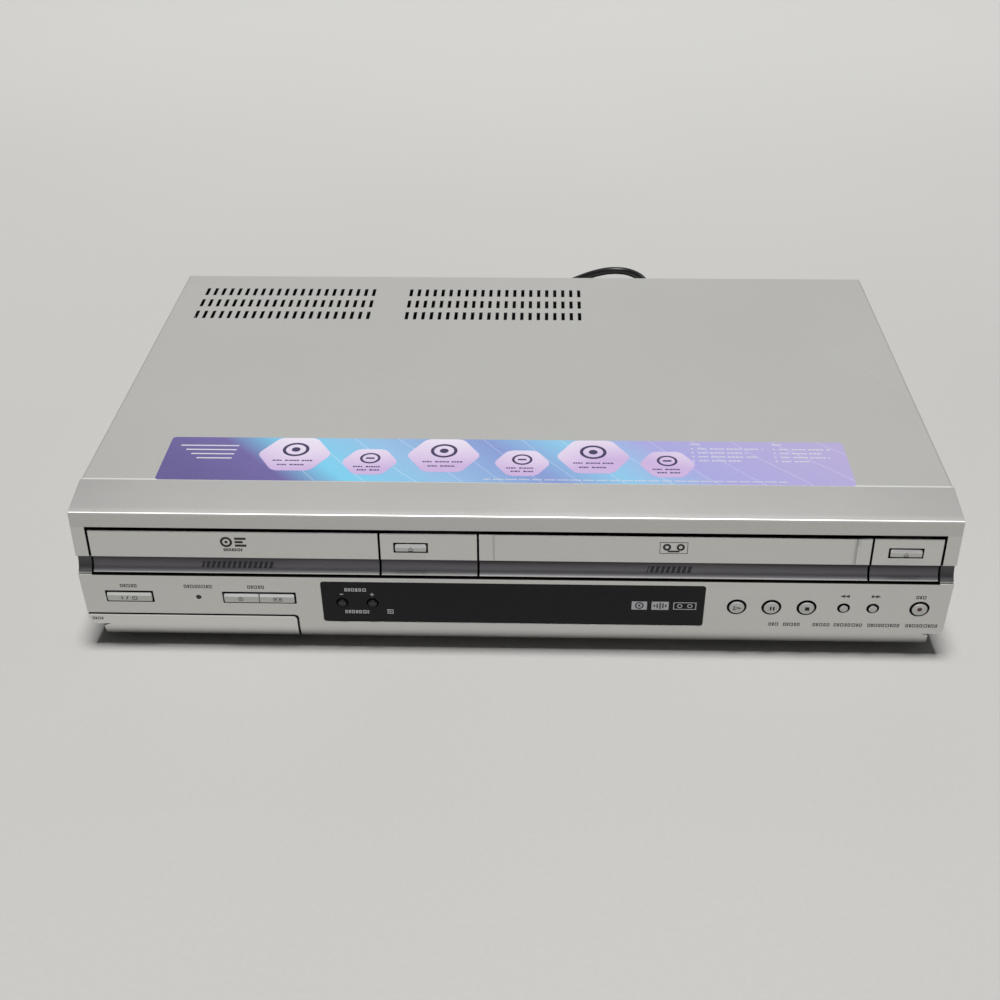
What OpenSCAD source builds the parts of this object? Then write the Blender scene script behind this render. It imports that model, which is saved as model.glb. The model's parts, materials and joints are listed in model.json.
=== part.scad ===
// Disc and cassette player: a low, wide set with a disc tray on the left and a tape slot on the right.
// Millimetres. +Z is up, the front faces -Y, and z = 0 is the surface that the feet stand on.

/* [Body] */
// Width over the cover and the front panel
body_w = 430; // [424:1:440]
// Height from the table to the top of the cover
body_h = 86; // [84:1:92]
// Depth from the front of the lower face to the ends of the rear sockets
body_d = 288; // [282:1:300]
// Height of the feet under the floor
foot_h = 5; // [4:0.5:6]
// Diameter of a foot
foot_d = 22; // [16:1:30]
// Thickness of the steel sheet
sheet = 0.8; // [0.6:0.1:1]
// Length of the sockets that stand out of the rear panel
socket_len = 9; // [8:0.5:10]

/* [Front panel] */
// Depth of the front panel at its top
panel_d = 25; // [24:1:28]
// Wall of the front panel
wall = 3; // [2.5:0.1:3.2]
// Thickness of the front panel's top
crown_t = 2; // [1.6:0.1:2.2]
// How far the front panel's top slopes down to its front edge
crown_drop = 4; // [3:0.5:4]
// Height of the plain strip over the doors
strip_h = 8.2; // [7.8:0.1:8.6]
// How far the upper face stands behind the lower face
face_setback = 1.5; // [1:0.1:2]
// Height of the opening that holds the doors
opening_h = 26.9; // [26.6:0.1:27.4]
// Width of the panel beyond each end of the opening
end_w = 7.2; // [6:0.1:9]
// Dark gap over the doors
top_gap = 1.9; // [1.5:0.1:2.2]
// Gap between neighbouring doors and panels, and under them
seam = 1; // [0.8:0.1:1.2]
// Height of the bright upper part of each door
door_face_h = 15.2; // [14:0.1:16]
// Thickness of each door and panel in the opening
insert_t = 4.5; // [4:0.1:4.8]
// Depth of the dark groove that runs under the bright part
groove_in = 1.9; // [1.5:0.1:2.2]
// Height of the chin, where the lower face turns under
chin_h = 17; // [16:0.5:18]
// How far the lower face leans back from its top to the chin
lower_lean = 3.2; // [2:0.1:4]
// Radius of the lower corners of the front
corner_r = 12; // [8:0.5:12]

/* [Doors] */
// Width of the disc tray's door
disc_door_w = 142; // [140:0.5:144]
// Width of the tape slot's door
tape_door_w = 189; // [188.5:0.5:190]
// Width of the panel to the right of the tape door
tape_side_w = 33.4; // [30:0.1:35]
// Radius of the tape door's hinge pins
door_pin_r = 1.2; // [1:0.1:1.3]
// Width of the flap over the front sockets
jack_door_w = 106.7; // [100:0.1:110]
// Height of the flap's upper edge
jack_door_top = 21; // [20:0.1:21]
// Radius of the flap's hinge pins
jack_pin_r = 1; // [0.8:0.1:1.1]

/* [Buttons] */
// How far a button travels
key_travel = 1; // [0.8:0.1:1]
// How far a button stands proud
key_proud = 0.8; // [0.5:0.1:1]
// Gap around a button
key_gap = 0.7; // [0.5:0.05:0.8]
// Width of the power button
power_w = 22.5; // [20:0.1:25]
// Height of the power and select buttons
bar_h = 5.7; // [5:0.1:7]
// Width over the two select buttons
select_w = 35.2; // [33:0.1:37]
// Width of an eject button
eject_w = 15.2; // [13:0.1:16]
// Height of an eject button
eject_h = 4.1; // [3.5:0.1:5]
// Diameter of the play, pause and stop buttons
play_d = 8.2; // [7:0.1:9]
// Diameter of the wind buttons
wind_d = 4.6; // [4:0.1:6]
// Diameter of the channel buttons
channel_d = 4.4; // [4:0.1:5]

/* [Display] */
// Width of the dark window
window_w = 190; // [186:0.5:192]
// Height of the dark window
window_h = 26.4; // [25:0.1:26.6]
// Thickness of the window
window_t = 1.8; // [1.5:0.1:2]

/* [Vents] */
// Slots in each row
vent_count = 22; // [16:1:24]
// Distance between slots
vent_pitch = 5; // [4.5:0.1:5.2]
// Width of a slot
vent_w = 2; // [1.5:0.1:2.5]
// Length of a slot
vent_l = 11; // [8:0.5:13]
// Distance between rows
vent_row = 17; // [15:0.5:18]

/* [Disc drive] */
// Radius of the disc well in the tray
well_r = 60.5; // [60.2:0.1:61]
// How far the tray comes out
tray_travel = 135; // [120:1:136]
// Thickness of the tray
tray_t = 9; // [8.5:0.1:9.5]
// Half-width of the tray between its side flanges
tray_half = 65; // [64:0.5:65.5]
// Gear module of the tray's rack and gear
rack_module = 1.5; // [1.4:0.1:1.6]
// Teeth on the tray gear
gear_teeth = 16; // [15:1:16]
// Radius of the turntable
turntable_r = 15; // [13:0.5:15.5]
// Travel of the pickup
pickup_travel = 33; // [25:1:34]

/* [Tape drive] */
// Width of a tape cassette
cassette_w = 188; // [187.5:0.5:188]
// Height of a tape cassette
cassette_h = 25; // [24.5:0.1:25]
// Radius of the head drum
drum_r = 31; // [28:0.5:31]
// Tilt of the head drum
drum_tilt = 5; // [4:0.5:6]
// Distance between the two reels
reel_pitch = 92.4; // [90:0.2:93]
// How far the cassette carrier slides in
carrier_travel = 46; // [40:1:46]
// How far the cassette carrier drops
carrier_drop = 20; // [18:0.5:20]
// Radius of the capstan shaft
capstan_r = 1.5; // [1.3:0.1:2]
// Radius of the pinch roller
pinch_r = 7.5; // [6.5:0.1:7.8]

/* [Mains lead] */
// Diameter of the mains lead
cord_d = 5; // [4:0.5:5]
// Length of the strain relief from the rear panel
relief_len = 25; // [20:1:40]

/* [Hidden] */
$fn = 48;

// finishes
silver = [0.68, 0.68, 0.66];
trim_grey = [0.3, 0.3, 0.31];
steel = [0.72, 0.73, 0.74];
board_green = [0.1, 0.35, 0.2];
black = [0.08, 0.08, 0.09];

// running clearances
slide_gap = 0.3;   // between sliding or nearly touching faces
shaft_gap = 0.05;  // radial, a shaft in its bore
eps = 0.01;

// small stock sizes
rail_t = 1.2;      // plate of the tape drive's walls, slider and carrier
screw_r = 1.3;     // shank of a cover screw
foot_pin_r = 1.6;  // pin that holds a foot in the floor
leg_r = 3.5;       // leg of the disc drive's frame and of the tape deck

// outer limits
left_x = -body_w / 2;
right_x = body_w / 2;
front_y = -body_d / 2;
rear_y = body_d / 2;
face_y = front_y + face_setback;
panel_back_y = face_y + panel_d;
rear_face_y = rear_y - socket_len;
inner_half = body_w / 2 - sheet - slide_gap;
floor_z = foot_h;
board_z = floor_z + 5;
board_t = 1.6;

// heights of the front, from the top down
crown_z = body_h - crown_drop;
opening_top = crown_z - strip_h;
opening_low = opening_top - opening_h;
insert_top = opening_top - top_gap;
insert_low = opening_low + seam;
lip_z = insert_top - door_face_h;
insert_back_y = face_y + insert_t;
groove_lip_y = front_y + 0.7;
groove_back_y = face_y + groove_in + 1.6;
lean_a = atan(lower_lean / (opening_low - chin_h));

// widths along the opening, from left to right
opening_w = body_w - 2 * end_w;
end_gap = seam / 2;
disc_side_w = opening_w - 2 * end_gap - 3 * seam - disc_door_w - tape_door_w - tape_side_w;
disc_door_x = -opening_w / 2 + end_gap;
disc_side_x = disc_door_x + disc_door_w + seam;
tape_door_x = disc_side_x + disc_side_w + seam;
tape_side_x = tape_door_x + tape_door_w + seam;
disc_x = disc_door_x + disc_door_w / 2;
tape_x = tape_door_x + tape_door_w / 2;

// button places on the lower face
window_r = 1.5;
bar_z = 32.8;
round_z = bar_z - 2.3;
window_z = bar_z - 2.2;
channel_z = bar_z - 2.8;
power_x = left_x + 23.5;
lamp_x = left_x + 58.2;
select_x = left_x + 88.7;
channel_up_x = -window_w / 2 + 25.2;
channel_down_x = channel_up_x - 15.2;
eject_z = opening_low + 16.9;
disc_eject_x = disc_side_x + 14.9;
tape_eject_x = tape_side_x + 15.8;
play_x = right_x - 103.9;
pause_x = right_x - 86.8;
stop_x = right_x - 69.5;
rewind_x = right_x - 51.3;
forward_x = right_x - 37;
record_x = right_x - 14.1;
ring_keys = [[play_x, play_d], [pause_x, play_d], [stop_x, play_d],
    [rewind_x, wind_d], [forward_x, wind_d], [record_x, play_d]];
key_flange = 1;          // thickness of the rim that keeps a button in its hole
key_rim = key_gap + 0.5; // how far that rim stands out from the button's head
key_body = 4.3;          // how far a button reaches behind the face
board_in = 9.5;          // key board's front behind the face
switch_w = 6;
switch_h = board_in - key_body - key_travel - slide_gap;

// tape door's hinge
door_axis = [face_y + 5.3, opening_top + 4.3];
door_arm = 2.5;

// flap's hinge
flap_axis = [front_y + 13.5, foot_h + 4];
flap_right_x = left_x + jack_door_w;
flap_t = 2;
flap_lip_y = front_y + 9.5;

// disc drive
tray_z = opening_low + 6;
tray_top = tray_z + tray_t;
tray_front_y = insert_back_y;
tray_rear_y = tray_front_y + 180;
well_y = tray_front_y + 8.5 + well_r;
well_depth = 3.5;
tray_flange = 3.6;
flange_t = 3.2;
slot_half = 19;
pitch_r = rack_module * gear_teeth / 2;
rack_x = disc_x + 50;
gear_x = rack_x - pitch_r;
gear_y = well_y - 32.5;
gear_t = 3;
rack_depth = 3;
frame_half = tray_half + 6;
frame_front_y = panel_back_y + 1.5;
frame_rear_y = tray_rear_y + 10;
frame_z = tray_z - 15;
frame_floor = 2;
frame_top = tray_top + 12;
window_half = 45;
traverse_half = window_half - 3;
traverse_front_y = well_y - 17;
traverse_rear_y = frame_rear_y - 8;
traverse_z = frame_z + 3;
traverse_t = 2;
swing_y = traverse_rear_y - 4;
swing_z = traverse_z + 5;
rod_r = 1.5;
rod_x = 24;
rod_z = traverse_z + 7.5;
pickup_y = well_y + 31;

// tape drive
deck_z = floor_z + 19;
deck_t = 1.2;
deck_top = deck_z + deck_t;
deck_front_y = frame_front_y + 4;
deck_rear_y = rear_face_y - 27;
carrier_half = cassette_w / 2 + 1;
slider_in = carrier_half + rail_t + slide_gap;
side_in = slider_in + rail_t + slide_gap;
carrier_front_y = door_axis[0] + (door_axis[1] - insert_low) + 2;
carrier_len = 58;
carrier_z = opening_low - 1;
carrier_top = carrier_z + cassette_h + 3;
reel_y = deck_front_y + 46;
drum_y = reel_y + 108;
capstan_at = [tape_x + 52, reel_y + 70];
pinch_pivot = [tape_x + 75, reel_y + 80];
pinch_arm_len = 15.9;
pinch_rest = 159.7;
pinch_half = 2.6;
flywheel_r = 24;
shoe_deep = 2;           // tape guide's shoe below the deck
guide_dx = [25, 44];     // from the tape's centre, unthreaded and threaded
guide_y = [reel_y + 44, reel_y + 114];
erase_head = [tape_x - 62, reel_y + 72];
sound_head = [tape_x + 62, reel_y + 54];
shaft_top = carrier_z + cassette_h - carrier_drop - 1;

// mains lead, from the tip of its strain relief
gland_x = left_x + 30;
gland_z = 22;
exit_y = rear_face_y + relief_len;
route = [[0, 0, 22], [0, 12, 21], [1, 24, 17], [4, 36, 11], [9, 48, 6], [17, 59, 3],
    [28, 69, 2.5], [43, 77, 2.5], [63, 83, 2.5], [85, 87, 2.5], [109, 92, 2.5], [133, 99, 2.5],
    [155, 109, 2.5], [175, 122, 2.5], [193, 137, 2.5], [209, 152, 2.5], [223, 166, 2.5],
    [236, 178, 2.5], [250, 185.5, 2.5], [264, 184.5, 2.5], [274, 174, 2.5], [278, 159, 2.5],
    [278, 140, 2.5], [278, 120, 2.5], [278, 100, 2.5]];
coil_at = [278 + 35.2, 80];
coil_r = [21.7, 37.9];
coil_h = 10.5;
plug_x = 334.3;
plug_y = 44.8;
plug_z = 8;

function face_at(z) = front_y + lower_lean * (opening_low - z) / (opening_low - chin_h);

// points of a quadratic curve from a to c, pulled towards b
function curve(a, b, c, n) = [for (i = [0 : n]) let (t = i / n)
    a * (1 - t) * (1 - t) + b * 2 * t * (1 - t) + c * t * t];

// Shapes used throughout ------------------------------------------------------------------
// stands a (y, z) outline up and extrudes it from x0 to x1
module along_x(x0, x1) translate([x0, 0, 0]) rotate([90, 0, 90]) linear_extrude(x1 - x0) children();

// stands an (x, z) outline up and extrudes it from y0 to y1
module along_y(y0, y1) translate([0, y1, 0]) rotate([90, 0, 0]) linear_extrude(y1 - y0) children();

module box(a, b) translate(a) cube(b - a);

module bar_x(x0, x1, y, z, r) translate([x0, y, z]) rotate([0, 90, 0]) cylinder(h = x1 - x0, r = r);

module bar_y(y0, y1, x, z, r) translate([x, y0, z]) rotate([-90, 0, 0]) cylinder(h = y1 - y0, r = r);

module post(x, y, z0, z1, r) translate([x, y, z0]) cylinder(h = z1 - z0, r = r);

module round_rect(w, h, r) {
    square([w - 2 * r, h], center = true);
    square([w, h - 2 * r], center = true);
    for (sx = [-1, 1], sy = [-1, 1]) translate([sx * (w / 2 - r), sy * (h / 2 - r)]) circle(r);
}

// local frame on the leaning lower face: x along it, y up it, z out of it
module on_lower_face(x, z) translate([x, face_at(z), z]) rotate([90 + lean_a, 0, 0]) children();

// Catmull-Rom path with one more point between each two of the route's own
function doubled(p) = let (n = len(p)) [for (i = [0 : n - 1], k = [0 : (i < n - 1 ? 1 : 0)])
    k == 0 ? p[i] : (-p[max(i - 1, 0)] + 9 * p[i] + 9 * p[i + 1] - p[min(i + 2, n - 1)]) / 16];
function way(p, i) = let (d = p[min(i + 1, len(p) - 1)] - p[max(i - 1, 0)]) d / norm(d);

// round tube along a path
module sweep(path, r, sides, up = [0, 0, 1]) {
    n = len(path);
    points = [for (i = [0 : n - 1]) let (t = way(path, i), c = cross(t, up), s = c / norm(c),
        u = cross(t, s)) for (k = [0 : sides - 1])
        path[i] + r * (cos(360 * k / sides) * s + sin(360 * k / sides) * u)];
    quads = [for (i = [0 : n - 2], k = [0 : sides - 1]) let (k2 = (k + 1) % sides)
        [i * sides + k, (i + 1) * sides + k, (i + 1) * sides + k2, i * sides + k2]];
    start = [for (k = [0 : sides - 1]) k];
    end = [for (k = [sides - 1 : -1 : 0]) (n - 1) * sides + k];
    polyhedron(points, concat([start], quads, [end]));
}

// Casing ------------------------------------------------------------------------------------

module vent_field(x0) {
    for (row = [0 : 2], i = [0 : vent_count - 1])
        translate([x0 + i * vent_pitch, rear_face_y - 57.5 + row * vent_row, body_h - 5])
            translate([-vent_w / 2, -vent_l / 2, 0]) cube([vent_w, vent_l, 10]);
}

cover_bend = 1.5;
cover_low = foot_h + 1.5;

// (x, z) outline of the cover, which is open below where it is moved in
module cover_outline(inset) {
    top = body_h - inset;
    half = body_w / 2 - inset;
    r = cover_bend - inset;
    low = cover_low - (inset > 0 ? 5 : 0);
    translate([-half, low]) square([2 * half, top - r - low]);
    translate([-half + r, top - r - eps]) square([2 * (half - r), r + eps]);
    for (s = [-1, 1]) translate([s * (half - r), top - r]) circle(r);
}

module top_cover() color(silver) difference() {
    along_y(panel_back_y, rear_face_y + 1) difference() {
        cover_outline(0);
        cover_outline(sheet);
    }
    vent_field(left_x + 17.3);
    vent_field(left_x + 145.8);
    for (s = [-1, 1], y = side_screw_y)
        bar_x(s * body_w / 2 - 3, s * body_w / 2 + 3, y, side_screw_z, screw_r + 0.6);
}

side_screw_y = [panel_back_y + 30, rear_face_y - 25];
side_screw_z = foot_h + 15;
rear_screw_x = [left_x + 12, 0, right_x - 12];
rear_screw_z = body_h - 9;

flange_h = 22;
rib_half = 25;

module bottom_chassis() color(steel) {
    y0 = panel_back_y + slide_gap;
    y1 = rear_face_y - sheet;
    difference() {
        union() {
            box([-inner_half, y0, floor_z], [inner_half, y1, floor_z + sheet]);
            for (x = [-inner_half, inner_half - sheet])
                box([x, y0, floor_z], [x + sheet, y1, floor_z + flange_h]);
            // posts under the boards
            for (p = board_posts) post(p[0], p[1], floor_z, board_z, 3);
            // ribs pressed out of the floor
            for (x = [left_x + 75, left_x + 150, right_x - 150, right_x - 75])
                box([x - rib_half, y0 + 20, floor_z - 0.6], [x + rib_half, y0 + 23, floor_z + eps]);
        }
        for (s = [-1, 1], y = side_screw_y)
            bar_x(s * inner_half - 3, s * inner_half + 3, y, side_screw_z, screw_r + 0.1);
        for (x = foot_x, y = foot_y) post(x, y, floor_z - 5, floor_z + 5, foot_pin_r + 0.1);
    }
}

foot_x = [left_x + 40, right_x - 40];
foot_y = [front_y + 42, rear_face_y - 30];
board_posts = [[left_x + 12, rear_face_y - 60], [left_x + 12, rear_face_y - 8],
    [disc_x + 60, rear_face_y - 60], [disc_x + 60, rear_face_y - 8],
    [left_x + 12, panel_back_y + 40], [-45, panel_back_y + 10], [-45, rear_face_y - 10],
    [right_x - 8, panel_back_y + 12], [right_x - 10, rear_face_y - 8], [tape_x - 18, rear_face_y - 35]];
frame_posts = [for (s = [-1, 1], y = [frame_front_y + 30, frame_rear_y - 14])
    [disc_x + s * (frame_half - 4.5), y]];
deck_posts = [for (s = [-1, 1], y = [deck_front_y + 16, deck_rear_y - 8])
    [tape_x + s * (side_in - 6), y]];
rear_slots = 16;
rear_slot_pitch = 6;
rear_slot_z = 34;

module rear_panel() color(steel) difference() {
    y0 = rear_face_y - 5;
    y1 = rear_face_y + 5;
    top = body_h - sheet - slide_gap;
    union() {
        box([-inner_half, rear_face_y - sheet, floor_z], [inner_half, rear_face_y, top]);
        // tabs under the cover's rear edge
        for (x = rear_screw_x)
            box([x - 7, rear_face_y - sheet - 8, top - sheet], [x + 7, rear_face_y - sheet + eps, top]);
    }
    for (x = phono_x, z = phono_z) bar_y(y0, y1, x, z, phono_r + slide_gap);
    bar_y(y0, y1, s_video_x, phono_z[0], s_video_r + slide_gap);
    for (z = aerial_z) bar_y(y0, y1, aerial_x, z, aerial_r + 0.8);
    bar_y(y0, y1, gland_x, gland_z, gland_r + slide_gap);
    for (x = rear_screw_x) bar_y(y0, y1, x, rear_screw_z, screw_r + 0.1);
    // row of small cooling slots
    for (i = [0 : rear_slots - 1])
        translate([left_x + 60 + i * rear_slot_pitch, y0, rear_slot_z]) cube([3, 10, 12]);
}

module feet() color(black) for (x = foot_x, y = foot_y) {
    difference() {
        union() {
            translate([x, y, 0]) cylinder(h = 1.5, r1 = foot_d / 2 - 1.5, r2 = foot_d / 2);
            post(x, y, 1.5, foot_h, foot_d / 2);
            post(x, y, foot_h - eps, foot_h + sheet + 1.2, foot_pin_r);
            translate([x, y, foot_h + sheet]) cylinder(h = 1.2, r = 2.4);
        }
        post(x, y, -1, 1.2, foot_d / 2 - 5);
    }
}

module screw_head(r) {
    difference() {
        cylinder(h = 2, r1 = r, r2 = r * 0.72);
        for (a = [0, 90]) rotate(a) translate([-r * 0.55, -0.4, 1]) cube([r * 1.1, 0.8, 2]);
    }
    translate([0, 0, -5]) cylinder(h = 5 + eps, r = screw_r);
}

module cover_screws() color("dimgray") {
    for (s = [-1, 1], y = side_screw_y) translate([s * body_w / 2, y, side_screw_z])
        rotate([0, s * 90, 0]) screw_head(3.6);
    for (x = rear_screw_x) translate([x, rear_face_y, rear_screw_z]) rotate([-90, 0, 0]) screw_head(3);
}

// Front panel ---------------------------------------------------------------------------------

// curve under the chin, moved in by w
function chin_curve(w) = curve([face_at(chin_h) + w, chin_h], [front_y + 4.3 + w, foot_h + w],
    [flap_lip_y + w * 0.5, foot_h + w], 10);

// side outline of the whole front
function front_side() = concat(
    [[panel_back_y, body_h], [panel_back_y, foot_h]],
    [for (i = [10 : -1 : 0]) chin_curve(0)[i]],
    [[front_y, opening_low], [groove_back_y, opening_low], [groove_back_y, lip_z],
     [face_y, lip_z], [face_y, crown_z - 1]],
    curve([face_y, crown_z - 1], [face_y, crown_z], [face_y + 1, crown_z + 0.16], 4));

// the same front, hollowed
function front_hollow() = concat(
    [[panel_back_y + 1, body_h - crown_t], [panel_back_y + 1, foot_h + wall]],
    [for (i = [10 : -1 : 0]) chin_curve(wall)[i]],
    [[face_at(opening_low) + wall, opening_low - 1], [insert_back_y + 2, opening_low + 4],
     [insert_back_y + 2, lip_z], [face_y + wall, lip_z + 3], [face_y + wall, crown_z - crown_t]]);

// front view outline with its round lower corners
module front_view(inset = 0) {
    half = body_w / 2 - inset;
    r = corner_r - inset;
    translate([-half, foot_h + inset + r]) square([2 * half, body_h]);
    translate([-half + r, foot_h + inset]) square([2 * (half - r), body_h]);
    for (s = [-1, 1]) translate([s * (half - r), foot_h + inset + r]) circle(r);
}

// (x, z) outline of the flap at the lower left
module flap_view(gap) {
    right = flap_right_x + gap;
    top = jack_door_top + gap;
    r = 2;
    translate([left_x - 5, -5]) square([right - left_x + 5, top + 5 - r]);
    translate([left_x - 5, top - r - eps]) square([right - r - left_x + 5, r + eps]);
    translate([right - r, top - r]) circle(r);
}

module window_view(gap) round_rect(window_w + 2 * gap, window_h + 2 * gap, max(0.5, window_r + gap));

module bezel_shell() difference() {
    intersection() {
        along_x(left_x, right_x) polygon(front_side());
        along_y(front_y - 5, panel_back_y + 5) front_view();
    }
    intersection() {
        along_x(left_x + wall, right_x - wall) polygon(front_hollow());
        along_y(front_y - 5, panel_back_y + 5) front_view(wall);
    }
    // opening for the doors
    box([-opening_w / 2, front_y - 5, opening_low], [opening_w / 2, insert_back_y + 3, opening_top]);
    // flap opening, with the panel's floor left behind the flap
    along_y(front_y - 5, front_y + 20) flap_view(seam / 2);
}

// roof, back and right wall around the front sockets
module jack_pocket() difference() {
    x0 = left_x + wall - eps;
    x1 = flap_right_x + 2.5;
    roof_z = jack_door_top + 0.5;
    union() {
        box([x0, front_y + 4.5, roof_z], [x1, jack_back_y + 2, roof_z + 2]);
        box([x0, jack_back_y, foot_h + 1], [x1, jack_back_y + 2, roof_z + 0.5]);
        box([x1 - 2, front_y + 9, foot_h + 2], [x1, jack_back_y + 1, roof_z + 0.5]);
    }
    for (x = front_jack_x)
        bar_y(jack_back_y - 5, jack_back_y + 5, x, front_jack_z, phono_r + slide_gap);
}

jack_back_y = front_y + 24.5;
front_jack_x = [left_x + 32, left_x + 48, left_x + 64];
front_jack_z = 13.5;
phono_r = 4.15;

rim_reach = 4;       // how far the front panel's rim slips under the cover
ear_half = 1.4;
tape_ear_x = tape_door_w / 2 + 1.9;
flap_ears = [left_x + 9, flap_right_x - 9];
flap_ear_half = 1.5;
key_posts = [left_x + 45, left_x + 65.5, -100, 101, 125, 182];
key_post_z = bar_z + 6.2;

// rim, ears and posts behind the front panel
module bezel_fittings() {
    for (x = [left_x + 2, right_x - 6])
        box([x, panel_back_y - 2, foot_h + 10], [x + 4, panel_back_y + rim_reach, opening_low - 10]);
    box([left_x + 12, panel_back_y - 1, body_h - 3],
        [right_x - 12, panel_back_y + rim_reach, body_h - sheet - slide_gap]);
    // ears for the tape door's pins
    for (s = [-1, 1]) box(
        [tape_x + s * tape_ear_x - ear_half, face_y + wall - 0.5, door_axis[1] - 2.6],
        [tape_x + s * tape_ear_x + ear_half, door_axis[0] + 2.6, door_axis[1] + 3.5]);
    // ears for the flap's pins
    for (x = flap_ears) box([x - flap_ear_half, flap_axis[0] - 2.2, flap_axis[1] - 2.2],
        [x + flap_ear_half, jack_back_y + 1, flap_axis[1] + 2.2]);
    // posts that carry the key board
    for (x = key_posts) on_lower_face(x, key_post_z)
        translate([0, 0, -board_in]) cylinder(h = board_in - 1, r = 2.4);
}

// a bar-shaped hole in the lower face
module bar_hole(x, w) on_lower_face(x, bar_z) translate([0, 0, -6])
    linear_extrude(9) round_rect(w + 2 * key_gap, bar_h + 2 * key_gap, 1.2);

module front_bezel() color(silver) difference() {
    union() {
        bezel_shell();
        jack_pocket();
        bezel_fittings();
    }
    // window seat and the opening behind it
    on_lower_face(0, window_z) translate([0, 0, -window_t - 0.2]) linear_extrude(10) window_view(0.1);
    on_lower_face(0, window_z) translate([0, 0, -8]) linear_extrude(9) window_view(-2);
    // holes for the buttons and the lamp
    bar_hole(power_x, power_w);
    bar_hole(select_x, select_w);
    for (k = ring_keys) on_lower_face(k[0], round_z)
        translate([0, 0, -8]) cylinder(h = 10, r = k[1] / 2 + key_gap);
    on_lower_face(lamp_x, bar_z) translate([0, 0, -8]) cylinder(h = 10, r = lamp_r + shaft_gap);
    // pin bores
    bar_x(tape_door_x - 4, tape_door_x + tape_door_w + 4, door_axis[0], door_axis[1],
        door_pin_r + shaft_gap);
    bar_x(left_x + 2, flap_right_x + 2, flap_axis[0], flap_axis[1], jack_pin_r + shaft_gap);
}

module groove_ends() color(trim_grey) for (s = [-1, 1]) intersection() {
    along_x(s > 0 ? opening_w / 2 : left_x, s > 0 ? right_x : -opening_w / 2)
        polygon(concat([[groove_back_y, opening_low], [groove_back_y, lip_z],
            [face_y + groove_in, lip_z]], groove_curve(), [[groove_lip_y, opening_low]]));
    box([left_x + 0.3, front_y - 1, opening_low], [right_x - 0.3, 0, lip_z]);
}

function groove_curve() = curve([face_y + groove_in, lip_z - 0.6], [face_y + groove_in, insert_low + 2.5],
    [groove_lip_y, insert_low + 0.6], 8);

// side outline of a door or panel in the opening
function insert_side() = concat(
    [[insert_back_y, insert_low], [insert_back_y, insert_top], [face_y + 0.5, insert_top],
     [face_y, insert_top - 0.5], [face_y, lip_z]],
    groove_curve(), [[groove_lip_y, insert_low]]);

module insert(x, w) along_x(x, x + w) polygon(insert_side());

module tray_door() color(silver) insert(disc_door_x, disc_door_w);

eject_board_y = face_y + 11;

// fixed panel beside a door, with the hole for its eject button
module side_panel(x, w, key_x) difference() {
    edge = 5;        // flange's distance from the panel's ends
    room = key_rim + 1.5;
    union() {
        insert(x, w);
        // flange behind the top edge of the opening
        box([x + edge, insert_back_y - eps, opening_low + 6],
            [x + w - edge, insert_back_y + 2, opening_top + 3]);
        box([x + edge, face_y + wall + 2 * eps, opening_top - 3],
            [x + w - edge, insert_back_y + 2, opening_top + 3]);
        // posts that carry the button's board
        for (s = [-1, 1]) bar_y(insert_back_y, eject_board_y, key_x + s * 11, eject_z - 9, 2);
    }
    along_y(front_y - 5, insert_back_y + 5) translate([key_x, eject_z])
        round_rect(eject_w + 2 * key_gap, eject_h + 2 * key_gap, 1.3);
    box([key_x - eject_w / 2 - room, insert_back_y - 0.2, eject_z - eject_h / 2 - room],
        [key_x + eject_w / 2 + room, insert_back_y + 5, eject_z + eject_h / 2 + room]);
}

module dvd_eject_panel() color(silver) side_panel(disc_side_x, disc_side_w, disc_eject_x);
module vhs_eject_panel() color(silver) side_panel(tape_side_x, tape_side_w, tape_eject_x);

// Buttons ---------------------------------------------------------------------------------------

eject_deep = insert_t + 1.2;

// side outline of a bar-shaped key: its upper third slopes back and its lower edge is eased
function key_side(h) = [[-h, -20], [h, -20], [h, key_proud - 1.6], [h / 2, key_proud - 0.9],
    [h / 6, key_proud], [-h / 2 + 0.4, key_proud], [-h / 2, key_proud - 0.4], [-h, key_proud - 1]];

// bar-shaped key: x along it, z out of the face, reaching deep behind it, with a rim at its back
module bar_key(w, h, deep) {
    intersection() {
        translate([0, 0, -deep]) linear_extrude(deep + key_proud) round_rect(w, h, 1);
        rotate([90, 0, 90]) translate([0, 0, -w]) linear_extrude(2 * w) polygon(key_side(h));
    }
    translate([0, 0, -deep]) linear_extrude(key_flange)
        round_rect(w + 2 * key_rim, h + 2 * key_rim, 1);
}

// round key: a sloped shoulder round a shallow dish
module round_key(d) {
    shoulder = d * 0.13;
    dish_r = d / 2 - shoulder - 0.2;
    dish_in = d * 0.05;
    side = [[0, -key_body], [d / 2 + key_rim, -key_body], [d / 2 + key_rim, key_flange - key_body],
        [d / 2, key_flange - key_body], [d / 2, key_proud - 0.65],
        [d / 2 - shoulder * 0.5, key_proud - 0.25], [d / 2 - shoulder, key_proud]];
    dish = [for (i = [0 : 6]) let (t = 1 - i / 6) [dish_r * t, key_proud - dish_in * (1 - t * t)]];
    rotate_extrude() polygon(concat(side, dish));
}

module eject_key(x) color(silver) translate([x, face_y, eject_z]) rotate([90, 0, 0])
    bar_key(eject_w, eject_h, eject_deep);
module dvd_eject_button() eject_key(disc_eject_x);
module vhs_eject_button() eject_key(tape_eject_x);

module power_button() color(silver) on_lower_face(power_x, bar_z)
    bar_key(power_w, bar_h, key_body);

// the two select buttons are the halves of one long key
select_gap = 0.3;
module select_key(s) color(silver) intersection() {
    on_lower_face(select_x, bar_z) bar_key(select_w, bar_h, key_body);
    box([s > 0 ? select_x + select_gap / 2 : select_x - select_w, front_y - 10, 0],
        [s > 0 ? select_x + select_w : select_x - select_gap / 2, 0, body_h]);
}
module dvd_select_button() select_key(-1);
module video_select_button() select_key(1);

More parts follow.
